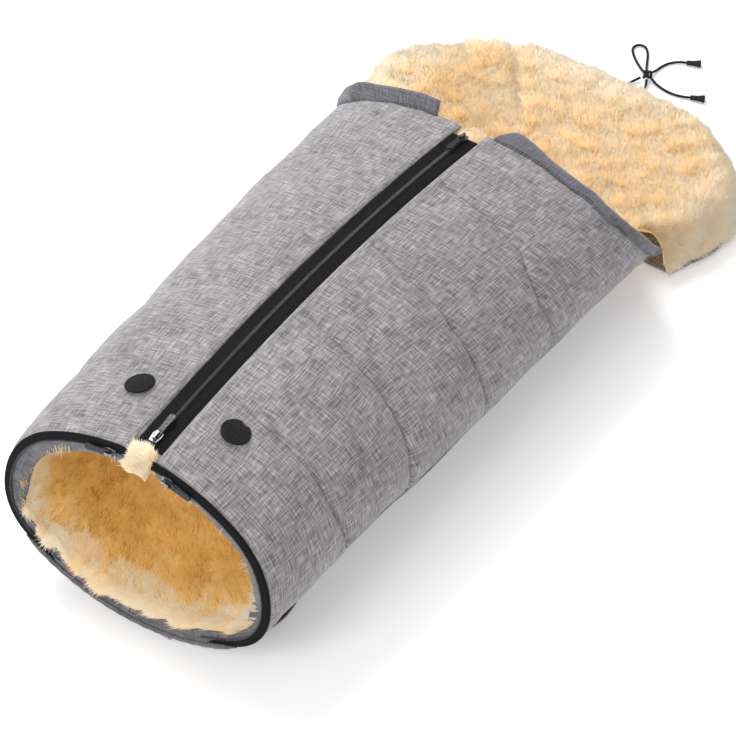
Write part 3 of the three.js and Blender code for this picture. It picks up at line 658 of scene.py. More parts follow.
chord = Vector((NECK_TOP - FOOT_LEAN, NECK_HEIGHT - FOOT_HEIGHT))
ARC_RADIUS = chord.length ** 2 / (8 * CROWN) + CROWN / 2
TILT = math.atan2(chord.y, chord.x)
below = ARC_RADIUS - CROWN
ARC_Y = FOOT_LEAN + chord.x / 2 + below * math.sin(TILT)
ARC_Z = FOOT_HEIGHT + chord.y / 2 - below * math.cos(TILT)
ARC_TURN = math.asin(chord.length / 2 / ARC_RADIUS)


def section(share):
    """At a share of the way to the neck: floor point, up direction, height, half width."""
    turn = TILT + ARC_TURN * (1 - 2 * share)
    top_y = ARC_Y - ARC_RADIUS * np.sin(turn)
    top_z = ARC_Z + ARC_RADIUS * np.cos(turn)
    floor_y = NECK_FLOOR * share
    floor_z = RAISE * np.clip((REACH + RAMP - floor_y) / RAMP, 0, 1)
    height = np.hypot(top_y - floor_y, top_z - floor_z)
    half = FOOT_HALF + (NECK_HALF - FOOT_HALF) * share
    up_y, up_z = (top_y - floor_y) / height, (top_z - floor_z) / height
    return floor_y, floor_z, up_y, up_z, height, half


def arcs(half, rise):
    phi = math.radians(ARC_HALF)
    offset = (half - rise) / (math.sin(phi) + math.cos(phi) - 1)
    crown = half + offset * (1 - math.sin(phi))
    return crown, crown - offset, offset


def tube(share, angle, depth=0.0, ahead=0.0):
    """Points on the tube. ahead moves them towards the foot, square to the section."""
    share, angle, depth, ahead = np.broadcast_arrays(
        np.asarray(share, float), angle, depth, ahead)
    floor_y, floor_z, up_y, up_z, height, half = section(share)
    side = np.where(angle >= 0, 1.0, -1.0)
    a = np.abs(angle)
    widest = height * WIDEST
    upper = a <= 90
    crown, small, offset = arcs(half, np.where(upper, height - widest, widest))
    flat = np.minimum(a, 180 - a) <= ARC_HALF
    radius = np.where(flat, crown, small) - depth
    x = np.where(flat, 0, offset * 0.5) + radius * np.sin(np.radians(a))
    w = np.where(flat, np.where(upper, height - crown, crown), widest)
    w = w + radius * np.cos(np.radians(a))
    y = floor_y + w * up_y - up_z * ahead
    z = floor_z + w * up_z + up_y * ahead
    return np.stack([side * x, y + FOOT_Y, z], -1)


def zip_angle(share, x=ZIP_HALF):
    """Degrees from the top at which the tube's surface is x metres from the middle."""
    _, _, _, _, height, half = section(np.asarray(share, float))
    crown, _, _ = arcs(half, height * (1 - WIDEST))
    return np.degrees(np.arcsin(x / crown))


# even spacing round the section: angle as a function of the share of its girth
TABLE_ANGLES = np.linspace(0, 180, 721)
girth = tube(np.full(721, 0.5), TABLE_ANGLES)
GIRTH = distances(girth)


def spread(v, first, last):
    """Angles evenly spaced round the section from first to last, for v from 0 to 1."""
    low = np.interp(first, TABLE_ANGLES, GIRTH)
    high = np.interp(last, TABLE_ANGLES, GIRTH)
    return np.interp(low + (high - low) * v, GIRTH, TABLE_ANGLES)


def girth_at(angle):
    return np.interp(np.abs(angle), TABLE_ANGLES, GIRTH)


print("half girth at the middle:", round(float(GIRTH[-1]), 3), "m")

# %% [markdown]
# ## Front panels
# Each half of the front is one panel from the zip to the side seam, quilted to the
# sheepskin across its width. Rows of the grid follow the sewn lines, so a cloth
# simulation with a little air pressure, pinned at the lines and edges, swells the
# fabric between them as the wool does. The move of each point is capped. Then come
# one subdivision and the puckers beside the lines.

# %% Sewn lines
ALONG = 0.72                 # metres of panel from foot to neck
QUILT_LINES = [((6, 0.172), (34, 0.170), (66, 0.165), (115, 0.195)),
               ((0, 0.410), (6, 0.405), (27, 0.375), (49, 0.36), (81, 0.345), (115, 0.335)),
               ((0, 0.630), (19, 0.59), (37, 0.56), (70, 0.54), (115, 0.533)),
               ((0, 0.845), (8, 0.835), (22, 0.81), (39, 0.765), (62, 0.725), (115, 0.705))]
NECK_LINE = ((0, 1.012), (5, 1.018), (14, 1.018), (26, 0.995), (40, 0.978),
             (60, 0.968), (90, 0.972), (115, 0.985), (180, 1.0))


def line_at(line, angle):
    return np.interp(np.abs(angle), [a for a, _ in line], [s for _, s in line])


LINE_ROWS = [i / (len(QUILT_LINES) + 1) for i in range(1, len(QUILT_LINES) + 1)]


def share_along(u, angle):
    """Share along the tube: rows at even steps of u meet the sewn lines."""
    marks = [0.0, *LINE_ROWS, 1.0]
    lines = [line_at(line, angle) for line in (*QUILT_LINES, NECK_LINE)]
    shares = [np.zeros_like(u), *lines]
    total = np.zeros_like(u)
    for i in range(len(marks) - 1):
        part = (u - marks[i]) / (marks[i + 1] - marks[i])
        inside = (part >= 0) & (part < 1) if i < len(marks) - 2 else part >= 0
        total = np.where(inside, shares[i] + (shares[i + 1] - shares[i]) * part, total)
    return total


# %% Panel shape before it is filled
MIDDLE_Z = 0.1               # height of the tube's middle line


def outward_of(piece):
    """Directions away from the tube's middle line, one per point."""
    return points_of(piece.data) * np.array([1, 0, 1]) - np.array([0, 0, MIDDLE_Z])


ROLL_RISE, ROLL_WIDE, ROLL_FROM = 0.0026, 0.0050, 0.0065
CLOTH_THICK = 0.0028         # woven fabric with its backing


def panel_place(side):
    def place(u, v):
        first = zip_angle(u)
        angle = spread(v, first, SIDE_SEAM)
        share = share_along(u, angle)
        from_zip = girth_at(angle) - girth_at(first)
        to_seam = girth_at(SIDE_SEAM) - girth_at(angle)
        roll = ROLL_RISE * ridge(from_zip - ROLL_FROM, ROLL_WIDE)
        dive = 0.0032 * ridge(from_zip, 0.0016)
        dive = dive + 0.0022 * ridge(to_seam, 0.003)
        dive = dive + 0.002 * ridge(share, 0.004)
        return tube(share, side * angle, dive - roll), share * ALONG, side * girth_at(angle)
    return place


# %% Filling a panel with the cloth simulation
def smooth_edges(value, reach):
    """0 at both ends of a 0 to 1 value, and 1 further in than reach."""
    return ease(value, 0, reach) * ease(1 - value, 0, reach)


def quilted_bulge(u):
    """From 0 on the sewn lines to 1 midway between them."""
    marks = [0.0, *LINE_ROWS, 1.0]
    total = np.zeros_like(u)
    for low, high in zip(marks, marks[1:]):
        part = np.clip((u - low) / (high - low), 0, 1)
        total = np.maximum(total, 1 - (2 * part - 1) ** 4)
    return total


FIRST_SWELL = 0.5            # share of the cap reached before the air
CLOTH_FRAMES = 20


def fill(piece, pinned, cap, pressure=4.0, stiffness=12):
    """Swells a skin with air pressure. cap limits how far each point may move, in metres."""
    mesh = piece.data
    rest = points_of(mesh)
    normals = normals_of(mesh)
    move_points(mesh, rest + normals * (cap * FIRST_SWELL)[:, None])
    group = piece.vertex_groups.new(name="pinned")
    for index in np.flatnonzero(pinned):
        group.add([int(index)], 1.0, "REPLACE")
    cloth = piece.modifiers.new("cloth", "CLOTH")
    settings = cloth.settings
    settings.quality = 4
    settings.mass = 0.25
    settings.tension_stiffness = stiffness
    settings.compression_stiffness = stiffness
    settings.shear_stiffness = stiffness * 0.4
    settings.bending_stiffness = 0.4
    settings.use_pressure = True
    settings.uniform_pressure_force = pressure
    settings.effector_weights.gravity = 0
    settings.vertex_group_mass = "pinned"
    cloth.collision_settings.use_collision = False
    for step in range(1, CLOTH_FRAMES + 1):
        scene.frame_set(step)
    settle(piece)
    piece.vertex_groups.clear()
    scene.frame_set(1)
    moved = points_of(piece.data) - rest
    length = np.linalg.norm(moved, axis=1)
    keep = np.minimum(1, cap / np.maximum(length, 1e-9))
    move_points(piece.data, rest + moved * keep[:, None])
    print(piece.name, "swelled", round(float(np.minimum(length, cap).max()) * 1000, 1), "mm")


# %% Make both front panels
DOT_X, DOT_Y = 0.0584, 0.113 + FOOT_Y
PANEL_ROWS, PANEL_COLUMNS = 150, 60


def dot_guard(points):
    """0 under the fastening dots and 1 away from them."""
    near = np.full(len(points), 9.0)
    for x in (-DOT_X, DOT_X):
        near = np.minimum(near, np.hypot(points[:, 0] - x, points[:, 1] - DOT_Y))
    return ease(near, 0.017, 0.045)


def front_panel(side, label, cap_size):
    piece = skin(f"front_panel_{label}_cloth", PANEL_ROWS, PANEL_COLUMNS, panel_place(side))
    mesh = piece.data
    rest = points_of(mesh)
    face_out(piece, outward_of(piece))
    u, v = values_of(mesh, "u"), values_of(mesh, "v")
    near_line = np.zeros(len(u), bool)
    for row in LINE_ROWS:
        near_line |= np.abs(u - row) < 0.5 / PANEL_ROWS
    edge = (u < 0.004) | (u > 0.996) | (v < 0.05) | (v > 0.995)
    guard = dot_guard(rest)
    cap = cap_size * quilted_bulge(u) * smooth_edges(v, 0.2) * guard
    cap = cap * (0.6 + 0.4 * ease(v, 0.1, 0.7))
    fill(piece, near_line | edge | (guard < 0.1), cap)
    round_off(piece)
    settle(piece)
    pucker(piece, side)
    thicken(piece, CLOTH_THICK)
    return finish_piece(piece, "muff", "woven_fabric", CLOTH, f"front_panel_{label}")


def pucker(piece, side):
    """A sewn groove with short cross wrinkles beside it, stronger low on the panel."""
    mesh = piece.data
    points, normals = points_of(mesh), normals_of(mesh)
    u, v = values_of(mesh, "u"), values_of(mesh, "v")
    push = np.zeros(len(u))
    strong = 0.35 + 0.65 * ease(v, 0.35, 0.9)
    if side < 0:
        strong = strong * 0.45
    for row in LINE_ROWS:
        far = np.abs(u - row) * ALONG
        push -= 0.0027 * ridge(far, 0.0034) * (1 if side > 0 else 0.25)
        waves = flat_cloud(v * 0.36, np.sign(u - row) * 3 + u * 0.12, 0.0085, 3)
        push += 0.0024 * strong * waves * ridge(far, 0.016) * ease(far, 0.0, 0.004)
    push += 0.0018 * cloud(points, 0.060, 5) + 0.0006 * cloud(points, 0.018, 6)
    push = push * ease(u, 0.0, 0.02) * ease(v, 0.01, 0.05)
    move_points(mesh, points + normals * push[:, None])


front_right = front_panel(1, "right", 0.0075)
front_panel(-1, "left", 0.0035)

# %% [markdown]
# ## Back panel
# The back is one piece of the same fabric from side seam to side seam. It lies on
# the floor and, at the foot end, on the folded foot flap, so it gets soft waves
# that press inwards only.

# %% Make the back panel
def back_place(u, v):
    turn = SIDE_SEAM + (360 - 2 * SIDE_SEAM) * v
    angle = np.where(turn <= 180, turn, turn - 360)
    share = u * line_at(NECK_LINE, angle)
    edge = np.minimum(turn - SIDE_SEAM, 360 - SIDE_SEAM - turn)
    dive = 0.002 * ridge(edge, 1.2) + 0.0008 + 0.0005 * np.sin(u * 40 + v * 9)
    around = np.sign(angle) * girth_at(angle) + np.where(turn <= 180, 0, 2 * GIRTH[-1])
    return tube(share, angle, dive), share * ALONG, around


back = skin("back_panel_cloth", 120, 70, back_place)
face_out(back, outward_of(back))
thicken(back, CLOTH_THICK)
finish_piece(back, "muff", "woven_fabric", CLOTH, "back_panel")

# %% [markdown]
# ## Sheepskin: the hide and its pile
# The lining has two parts. A lumpy skin gives the body of the pile, and thousands
# of short tapered locks stand on it, each with only four triangles. Locks lean
# towards the crests of a soft noise, which gathers them in clumps as real wool does.

# %% One lock, and how it is repeated
def lock_shape():
    """A three-sided spike, one metre long: its points and triangles."""
    bm = bmesh.new()
    bmesh.ops.create_cone(bm, cap_ends=True, segments=3, radius1=0.5, radius2=0.0, depth=1.0)
    bmesh.ops.translate(bm, vec=(0, 0, 0.5), verts=bm.verts)
    bmesh.ops.remove_doubles(bm, verts=bm.verts, dist=1e-5)
    return small_shape(bm)


LOCK_POINTS, LOCK_CORNERS = lock_shape()
print("one lock:", len(LOCK_CORNERS), "triangles")


def scatter(piece, count, rng, where=None):
    """Random spots on a mesh: places, normals. where(points) gives a share to keep."""
    mesh = piece.data
    mesh.calc_loop_triangles()
    triangles = np.zeros(len(mesh.loop_triangles) * 3, int)
    mesh.loop_triangles.foreach_get("vertices", triangles)
    triangles = triangles.reshape(-1, 3)
    points, normals = points_of(mesh), normals_of(mesh)
    a, b, c = (points[triangles[:, k]] for k in range(3))
    area = np.linalg.norm(np.cross(b - a, c - a), axis=1)
    if where is not None:
        area = area * where((a + b + c) / 3)
    chosen = rng.choice(len(area), count, p=area / area.sum())
    r1, r2 = np.sqrt(rng.random(count)), rng.random(count)
    shares = np.stack([1 - r1, r1 * (1 - r2), r1 * r2], 1)
    corner = triangles[chosen]
    place = (points[corner] * shares[:, :, None]).sum(1)
    return place, unit((normals[corner] * shares[:, :, None]).sum(1))


CLUMP, SMALL_CLUMP = 0.017, 0.0075     # width of a clump of locks
ROOT_DEPTH = 0.001           # locks start this far inside the hide
LOWEST_LOCK = 0.0012         # and stay this far above the floor


def clump_lean(place, size, seed):
    """Direction towards the nearest crest of a soft noise, and the crest's height there."""
    step = size * 0.1
    level = cloud(place, size, seed)
    slope = np.stack([cloud(place + np.eye(3)[k] * step, size, seed) - level for k in range(3)], 1)
    return slope / step * size * 0.5, level


def pile(name, base, count, length, width, seed, tone, lean=0.6, where=None, comb=(0, 0, 0)):
    """One mesh of locks standing on base. tone(points) runs from 0, amber, to 1, cream."""
    rng = np.random.default_rng(seed)
    place, normal = scatter(base, count, rng, where)
    pull, level = clump_lean(place, CLUMP, 21)
    small_pull, small_level = clump_lean(place, SMALL_CLUMP, 22)
    reach = length * (0.75 + 0.5 * rng.random(count)) * (1 + 0.25 * level)
    wide = width * (0.7 + 0.6 * rng.random(count))
    bend = (pull + 0.5 * small_pull) * lean + rng.normal(0, 0.17, (count, 3)) + np.array(comb)
    bend -= normal * (bend * normal).sum(1, keepdims=True)
    across = unit(np.cross(normal, rng.normal(0, 1, (count, 3))))
    other = np.cross(normal, across)
    t = LOCK_POINTS
    points = place[:, None] - normal[:, None] * ROOT_DEPTH
    points = points + across[:, None] * (t[None, :, :1] * wide[:, None, None])
    points = points + other[:, None] * (t[None, :, 1:2] * wide[:, None, None])
    points = points + normal[:, None] * (t[None, :, 2:] * reach[:, None, None])
    points = points + bend[:, None] * (t[None, :, 2:] ** 2 * reach[:, None, None])
    points[..., 2] = np.maximum(points[..., 2], LOWEST_LOCK)
    piece = link_copies(name, points, LOCK_CORNERS)
    mesh = piece.data
    n, k = count, len(t)
    shade = tone(place)
    shade = np.clip(shade + 0.11 * level + 0.08 * small_level + rng.normal(0, 0.05, n), 0, 1)
    keep_values(mesh, "tip", np.broadcast_to(t[None, :, 2], (n, k)).ravel())
    keep_values(mesh, "tone", np.repeat(shade, k))
    soft = unit(normal + 0.35 * bend)
    mesh.normals_split_custom_set_from_vertices(np.repeat(soft, k, axis=0).tolist())
    return piece


# %% [markdown]
# ## Wool inside the tube
# The lining is one hide all round the tube. Fine locks stand where they are seen,
# at the foot and the neck, and fewer, thicker ones stand deep inside.

# %% Wool inside the tube
INSIDE_DEPTH = 0.0135
HIDE_THICK = 0.0045


def inside_place(u, v):
    angle = -180 + 360 * v
    share = 0.008 + u ** 1.2 * (line_at(NECK_LINE, angle) - 0.022)
    return tube(share, angle, INSIDE_DEPTH), share * ALONG, v * 2 * GIRTH[-1]


def lumpy(piece, height, size, seed):
    mesh = piece.data
    points, normals = points_of(mesh), normals_of(mesh)
    lumps = 0.65 * cloud(points, size, seed) + 0.35 * cloud(points, size * 0.45, seed + 1)
    move_points(mesh, points + normals * (height * lumps)[:, None])
    keep_values(mesh, "tip", 0.12 + 0.25 * (lumps + 1) / 2)


def inside_tone_and_shade(points):
    """Painted shade: amber deep inside the tube, where shade falls, and cream at the foot rim and
    the neck, where light reaches; the cloud is the wool's own patchy tone.
    """
    along = points[:, 1] - FOOT_Y
    lean = points[:, 2] * 0.18
    rim = 1 - ease(along - lean, 0.006, 0.055)
    neck = ease(along, 0.52, 0.70)
    # rim and neck lighten the openings and the rest stays amber: painted light and shade
    return 0.29 + 0.50 * rim + 0.35 * neck + 0.20 * cloud(points, 0.055, 34) * (1 - rim)


inside = skin("wool_inside_hide", 150, 150, inside_place)
face_out(inside, -outward_of(inside))
lumpy(inside, 0.0028, 0.018, 41)
keep_values(inside.data, "tone", inside_tone_and_shade(points_of(inside.data)))


def near_foot(points):
    """The wool seen through the foot opening: most of it low down and close to the rim."""
    low = 1 - 0.75 * ease(points[:, 2], 0.12, 0.17)
    return (1 - ease(points[:, 1] - FOOT_Y, 0.13, 0.22)) * low


def near_neck(points):
    return ease(points[:, 1] - FOOT_Y, 0.55, 0.62)


def deep_inside(points):
    return np.clip(1 - near_foot(points) - near_neck(points), 0, 1) + 0.02


foot_piles = [pile(f"wool_inside_foot_{k}", inside, 45000, 0.0145, 0.0019, 50 + k,
                   tone=inside_tone_and_shade, where=near_foot) for k in (1, 2)]
deep_pile = pile("wool_inside_deep", inside, 16000, 0.016, 0.0034, 53, tone=inside_tone_and_shade,
                 where=deep_inside)
neck_pile = pile("wool_inside_neck", inside, 42000, 0.017, 0.0018, 54, tone=inside_tone_and_shade,
                 where=near_neck)


def neck_edge(points):
    """The last centimetres of lining before the neck's edge, above the floor."""
    angle = np.degrees(np.arctan2(np.abs(points[:, 0]), points[:, 2] - 0.09))
    limit = tube(line_at(NECK_LINE, angle), angle, 0.014)[:, 1]
    return ease(points[:, 1], limit - 0.045, limit - 0.02) * ease(points[:, 2], 0.02, 0.04)


neck_fringe = pile("wool_neck_fringe", inside, 15000, 0.013, 0.0016, 96, lean=0.5,
                   tone=inside_tone_and_shade, where=neck_edge, comb=(0, 0.7, 0))
finish_piece(neck_fringe, "muff", "sheepskin_wool", WOOL)
thicken(inside, HIDE_THICK)
finish_piece(inside, "muff", "sheepskin_wool", SHADED_INSIDE_WOOL,
             "front_lining_left", "front_lining_right", "back_lining")
for piece in (*foot_piles, deep_pile):
    finish_piece(piece, "muff", "sheepskin_wool", SHADED_INSIDE_WOOL)
finish_piece(neck_pile, "muff", "sheepskin_wool", WOOL)

# %% [markdown]
# ## Hood
# The hood is a thick fleece that lies on the floor behind the neck, on a fabric
# sheet that joins the back panel. The fleece is a closed pad: a square grid is
# pulled out to the hood's rounded outline and raised over it, with lumps and one
# long crease. The fabric sheet crosses the fold where the hood meets the muff.

# %% The hood's outline
HOOD_FOLD_Y = 0.27446
HOOD_NECK_HALF, HOOD_WIDE_HALF = 0.216, 0.240
HOOD_WIDEST_Y, HOOD_END_Y = 0.806 + FOOT_Y, 0.955 + FOOT_Y
HOOD_SQUARE = 2.15
WOOL_TOP = 0.050


def hood_half(y):
    """Half width of the hood at a row of it."""
    near = np.clip((y - HOOD_FOLD_Y) / (HOOD_WIDEST_Y - HOOD_FOLD_Y), 0, 1)
    wide = HOOD_NECK_HALF + (HOOD_WIDE_HALF - HOOD_NECK_HALF) * np.sin(near * math.pi / 2)
    far = np.clip((y - HOOD_WIDEST_Y) / (HOOD_END_Y - HOOD_WIDEST_Y), 0, 1)
    return wide * (1 - far ** HOOD_SQUARE) ** (1 / HOOD_SQUARE)


def hood_outline():
    """Points round the hood, anticlockwise from its right end on the fold."""
    theta = np.linspace(0, math.pi, 161)
    x = HOOD_WIDE_HALF * np.sign(np.cos(theta)) * np.abs(np.cos(theta)) ** (2 / HOOD_SQUARE)
    y = HOOD_WIDEST_Y + (HOOD_END_Y - HOOD_WIDEST_Y) * np.abs(np.sin(theta)) ** (2 / HOOD_SQUARE)
    rise = np.linspace(0, 1, 31)[:-1]
    side_y = HOOD_FOLD_Y + (HOOD_WIDEST_Y - HOOD_FOLD_Y) * rise
    side_x = HOOD_NECK_HALF + (HOOD_WIDE_HALF - HOOD_NECK_HALF) * np.sin(rise * math.pi / 2)
    right = np.stack([side_x, side_y], 1)
    left = np.stack([-side_x, side_y], 1)[::-1]
    return np.vstack([right, np.stack([x, y], 1), left])


OUTLINE = hood_outline()
print("hood:", round(2 * HOOD_WIDE_HALF, 3), "by", round(HOOD_END_Y - HOOD_FOLD_Y, 3), "m")


# %% Fleece of the hood
def grid_to_hood(u, v, inset=0.0):
    """A unit square to the hood: v runs from the fold to the far edge, u from left to right."""
    y = HOOD_FOLD_Y + (HOOD_END_Y - HOOD_FOLD_Y - inset) * (1 - (1 - v) ** 1.5)
    half = hood_half(np.minimum(y + inset * 0.6, HOOD_END_Y)) - inset
    x = (2 * u - 1) * np.maximum(half, 0.03 * (1 - v) + 0.012)
    return x, y


FLEECE_LEAD = 0.034          # the fleece starts this far inside the neck
FLEECE_EDGE = 0.026          # width of its rounded edge


def hood_wool_place(u, v):
    x, y = grid_to_hood(u, v, 0.008)
    near = 1 - ease(y, HOOD_FOLD_Y, HOOD_FOLD_Y + 0.10)
    x = x * (1 - (0.055 + 0.055 * near) * (x > 0)) - 0.012 * near * (x < -0.1)
    y = y - FLEECE_LEAD * (1 - ease(v, 0, 0.22)) * (1 - 0.7 * ease(x, 0.12, 0.18))
    sides = (1 - np.abs(2 * u - 1)) * hood_half(y)
    end = (1 - v) ** 1.5 * (HOOD_END_Y - HOOD_FOLD_Y)
    edge = np.minimum(sides, end * 0.9)
    rise = np.sqrt(np.clip(1 - (1 - np.clip(edge / FLEECE_EDGE, 0, 1)) ** 2, 0, 1))
    z = 0.006 + (WOOL_TOP - 0.009) * rise
    line_x = -0.117 + (y - (0.906 + FOOT_Y)) * (-0.061 / 0.086)
    from_foot = y - FOOT_Y
    along = ease(from_foot, 0.80, 0.84) * (1 - ease(from_foot, 0.90, 0.935))
    crease = 0.010 * along * ridge(x - line_x, 0.010)
    stand = ease(-x, 0.04, 0.17) * (1 - ease(y, 0.31, 0.43)) * ease(edge, 0.0, 0.03)
    z = z - crease + 0.027 * stand + 0.006 * near * ease(edge, 0.0, 0.03)
    return np.stack([x, y, z], 1), y, x


def hood_tone(points):
    """Honey in the middle of the hood, cream towards its edges."""
    x, y = points[:, 0], points[:, 1]
    side = 1 - np.abs(x) / np.maximum(hood_half(np.minimum(y, HOOD_END_Y - 0.002)), 0.03)
    end = (HOOD_END_Y - y) / 0.2
    edge = np.minimum(side * 1.1, end)
    return 0.55 + 0.34 * (1 - ease(edge, 0.0, 0.45)) + 0.07 * cloud(points, 0.07, 33)


hood_wool = skin("hood_fleece_hide", 150, 110, hood_wool_place)
face_out(hood_wool, UPWARD)
lumpy(hood_wool, 0.0032, 0.032, 61)
keep_values(hood_wool.data, "tone", hood_tone(points_of(hood_wool.data)))
HOOD_BANDS = [(-0.30, -0.11), (-0.11, 0.0), (0.0, 0.11), (0.11, 0.30)]
hood_piles = []
for number, (left_x, right_x) in enumerate(HOOD_BANDS, 1):
    hood_piles.append(pile(
        f"hood_fleece_{number}", hood_wool, 45000, 0.0118, 0.0015, 70 + number, lean=0.5,
        tone=hood_tone,
        where=lambda p, a=left_x, b=right_x: ((p[:, 0] >= a) & (p[:, 0] < b)) * 1.0))
thicken(hood_wool, 0.004)
settle(hood_wool)


def finish_bent(piece, slot, material, start, end, *nodes):
    """Finishes a piece that lies across the fold where the hood meets the muff: gives it its
    material, hides the nodes it replaces and bakes its transform. start and end are not used.
    """
    piece.data.materials.clear()
    piece.data.materials.append(material)
    if nodes:
        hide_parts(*nodes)
    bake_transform(piece)
    print(piece.name, len(piece.data.polygons), "faces, bends from muff to hood")


finish_bent(hood_wool, "sheepskin_wool", WOOL, 0.252, 0.298, "hood_lining")
for piece in hood_piles:
    finish_bent(piece, "sheepskin_wool", WOOL, 0.252, 0.298)


# %% [markdown]
# ## Fabric and hem of the hood
# Under the fleece lies a sheet of the grey fabric. Its edge is a hem, a tube of the
# woven fabric darkened with painted shade round the drawcord, and its gathers are waves on the
# tube's radius.

# %% Fabric under the hood
HOOD_CLOTH_NARROW = 0.94     # the fleece hangs over the fabric's sides


def hood_cloth_place(u, v):
    x, y = grid_to_hood(u, v, 0.014)
    x = x * HOOD_CLOTH_NARROW
    lead = 0.012 * (1 - ease(v, 0, 0.12))
    z = 0.0034 + 0.0006 * np.sin(x * 90) * np.sin(y * 70)
    return np.stack([x, y - lead, z], 1), y, x


hood_cloth = skin("hood_cloth_sheet", 90, 70, hood_cloth_place)
face_out(hood_cloth, -UPWARD)
thicken(hood_cloth, 0.0024, offset=1.0)
settle(hood_cloth)
finish_bent(hood_cloth, "woven_fabric", CLOTH, 0.262, 0.290, "hood_shell")

# %% Hem round the hood
HEM_RADIUS = 0.0046
HEM_OUTSET = -0.003          # the hem runs this far inside the hood's outline
HEM_NARROW = 0.915           # and is tucked under the fleece at the sides


def hem_path():
    near = unit(np.gradient(OUTLINE, axis=0))
    out = np.stack([near[:, 1], -near[:, 0]], 1)
    flat = (OUTLINE + out * HEM_OUTSET) * (HEM_NARROW, 1)
    return np.column_stack([flat, np.full(len(flat), HEM_RADIUS + 0.0002)])


def gathers(far, turn):
    folds = np.abs(np.sin(far * 330 + 0.6 * np.sin(far * 71)))
    return 0.86 + 0.10 * folds + 0.04 * np.sin(turn * 2)


hem_line, hem_length = smooth_path(hem_path(), 0.0016)
hem = sweep("hood_hem_gathered", hem_line, HEM_RADIUS, 14, gathers)
finish_piece(hem, "hood", "dark_fabric", SHADED_CLOTH, "hood_hem",
             "drawcord_in_hem_left", "drawcord_in_hem_right")
print("hem:", round(hem_length, 3), "m")

# %% [markdown]
# ## Rows of small shapes
# Zip teeth and sewing stitches are the same thing to model: one small rounded
# shape, copied at even steps along a line. The shape has only a few dozen faces
# because there are hundreds of copies.

# %% One tooth, and rows of them
def tooth_shape():
    bm = bmesh.new()
    bmesh.ops.create_uvsphere(bm, u_segments=6, v_segments=4, radius=0.5)
    return small_shape(bm)


TOOTH_POINTS, TOOTH_CORNERS = tooth_shape()


def teeth(name, places, across, ahead, up, size):
    """A tooth at each place, all in one mesh; size is (across, ahead, up)."""
    t = TOOTH_POINTS
    points = places[:, None] + (across[:, None] * t[None, :, :1] * size[0]
                                + ahead[:, None] * t[None, :, 1:2] * size[1]
                                + up[:, None] * t[None, :, 2:] * size[2])
    return link_copies(name, points, TOOTH_CORNERS)


def along_path(path, step, values=None):
    """Even steps along a path: places, forward directions and, if given, values there."""
    far = distances(path)
    marks = np.arange(step / 2, far[-1], step)
    places = at_marks(marks, far, path)
    ahead = unit(np.gradient(places, axis=0))
    return places, ahead, None if values is None else at_marks(marks, far, values)


def frame_along(ahead, outward):
    across = unit(np.cross(ahead, outward))
    return across, np.cross(across, ahead)


def stitches(name, path, outward, body, slot, step=0.0042, length=0.0031, wide=0.0008,
             material=THREAD, lift=0.0):
    places, ahead, out = along_path(path, step, outward)
    across, up = frame_along(ahead, out)
    piece = teeth(name, places + up * lift, across, ahead, up, (wide, length, wide))
    return finish_piece(piece, body, slot, material)


# %% [markdown]
# ## Collar bands
# A folded band of the woven fabric, darkened with painted shade, finishes the neck opening at each
# side. It is widest beside the zip, where it stands up in a peak, and it curls over at its end.

# %% Make the collars
COLLAR_FROM, COLLAR_TO = {1: 5, -1: 9.5}, 106   # degrees from the top
BAND = 0.0052                # thickness of the folded band


def band_width(angle):
    """Right: a sharp peak beside the zip. Left: a broad band that stands higher."""
    a = np.abs(angle)
    right = 0.023 + 0.020 * ridge(a - 7, 7.0)
    left = 0.024 + 0.008 * np.exp(-((a - 10) / 40.0) ** 4)
    return np.where(angle > 0, right * (0.45 + 0.55 * ease(a, 5.0, 7.0)), left)


def collar_place(side):
    def place(u, v):
        angle = side * (COLLAR_FROM[side] + (COLLAR_TO - COLLAR_FROM[side]) * u)
        share = line_at(NECK_LINE, angle) - 0.006 + band_width(angle) * v / ALONG
        depth = -0.0030 - 0.0016 * np.sin(v * math.pi) + 0.0030 * ease(v, 0.72, 1.0) ** 2
        depth = depth + 0.0022 * ridge(v, 0.10)
        if side < 0:
            depth = depth - 0.021 * v ** 1.3 * (1 - ease(np.abs(angle), 30, 75))
        curl = ease(u, 0.93, 1.0)
        depth = depth - 0.006 * curl * v
        depth = depth - 0.0012 * flat_cloud(u * 0.5, v * 0.05, 0.026, 9 + side)
        return tube(share, angle, depth), share * ALONG, side * girth_at(angle)
    return place


for side, label in SIDES:
    collar = skin(f"collar_{label}_band", 130, 16, collar_place(side))
    face_out(collar, outward_of(collar))
    thicken(collar, BAND)
    round_off(collar)
    finish_piece(collar, "muff", "dark_fabric", SHADED_CLOTH, f"collar_{label}")
    angle = side * np.linspace(COLLAR_FROM[side] + 2, COLLAR_TO - 2, 200)
    share = line_at(NECK_LINE, angle) - 0.006 + 0.0042 / ALONG
    seam = tube(share, angle, -0.0040)
    stitches(f"collar_{label}_stitches", seam, seam - tube(share, angle, 0.05), "muff",
             "dark_fabric", step=0.0040, length=0.0030, wide=0.0007, material=CORD)

# %% [markdown]
# ## Facings inside the foot rim
# A strip of the woven fabric, darkened with painted shade, covers the raw edge of the sheepskin
# all round the open foot end. It lies in the plane of the rim, slightly puckered.

# %% Make the facings
def facing_place(side):
    def place(u, v):
        angle = side * spread(u, 4.0, 180.0)
        depth = 0.004 + (0.013 + 0.010 * (1 - ease(np.abs(angle), 95, 140))) * v
        ripple = 0.0013 * flat_cloud(u * 0.5, v * 0.03, 0.016, 13) * ease(v, 0.0, 0.4)
        high = 1 - ease(np.abs(angle), 85, 125)
        ahead = 0.0002 - (0.0012 + 0.0060 * high) * v ** 2 + ripple
        return tube(0, angle, depth, ahead), side * girth_at(angle), depth
    return place


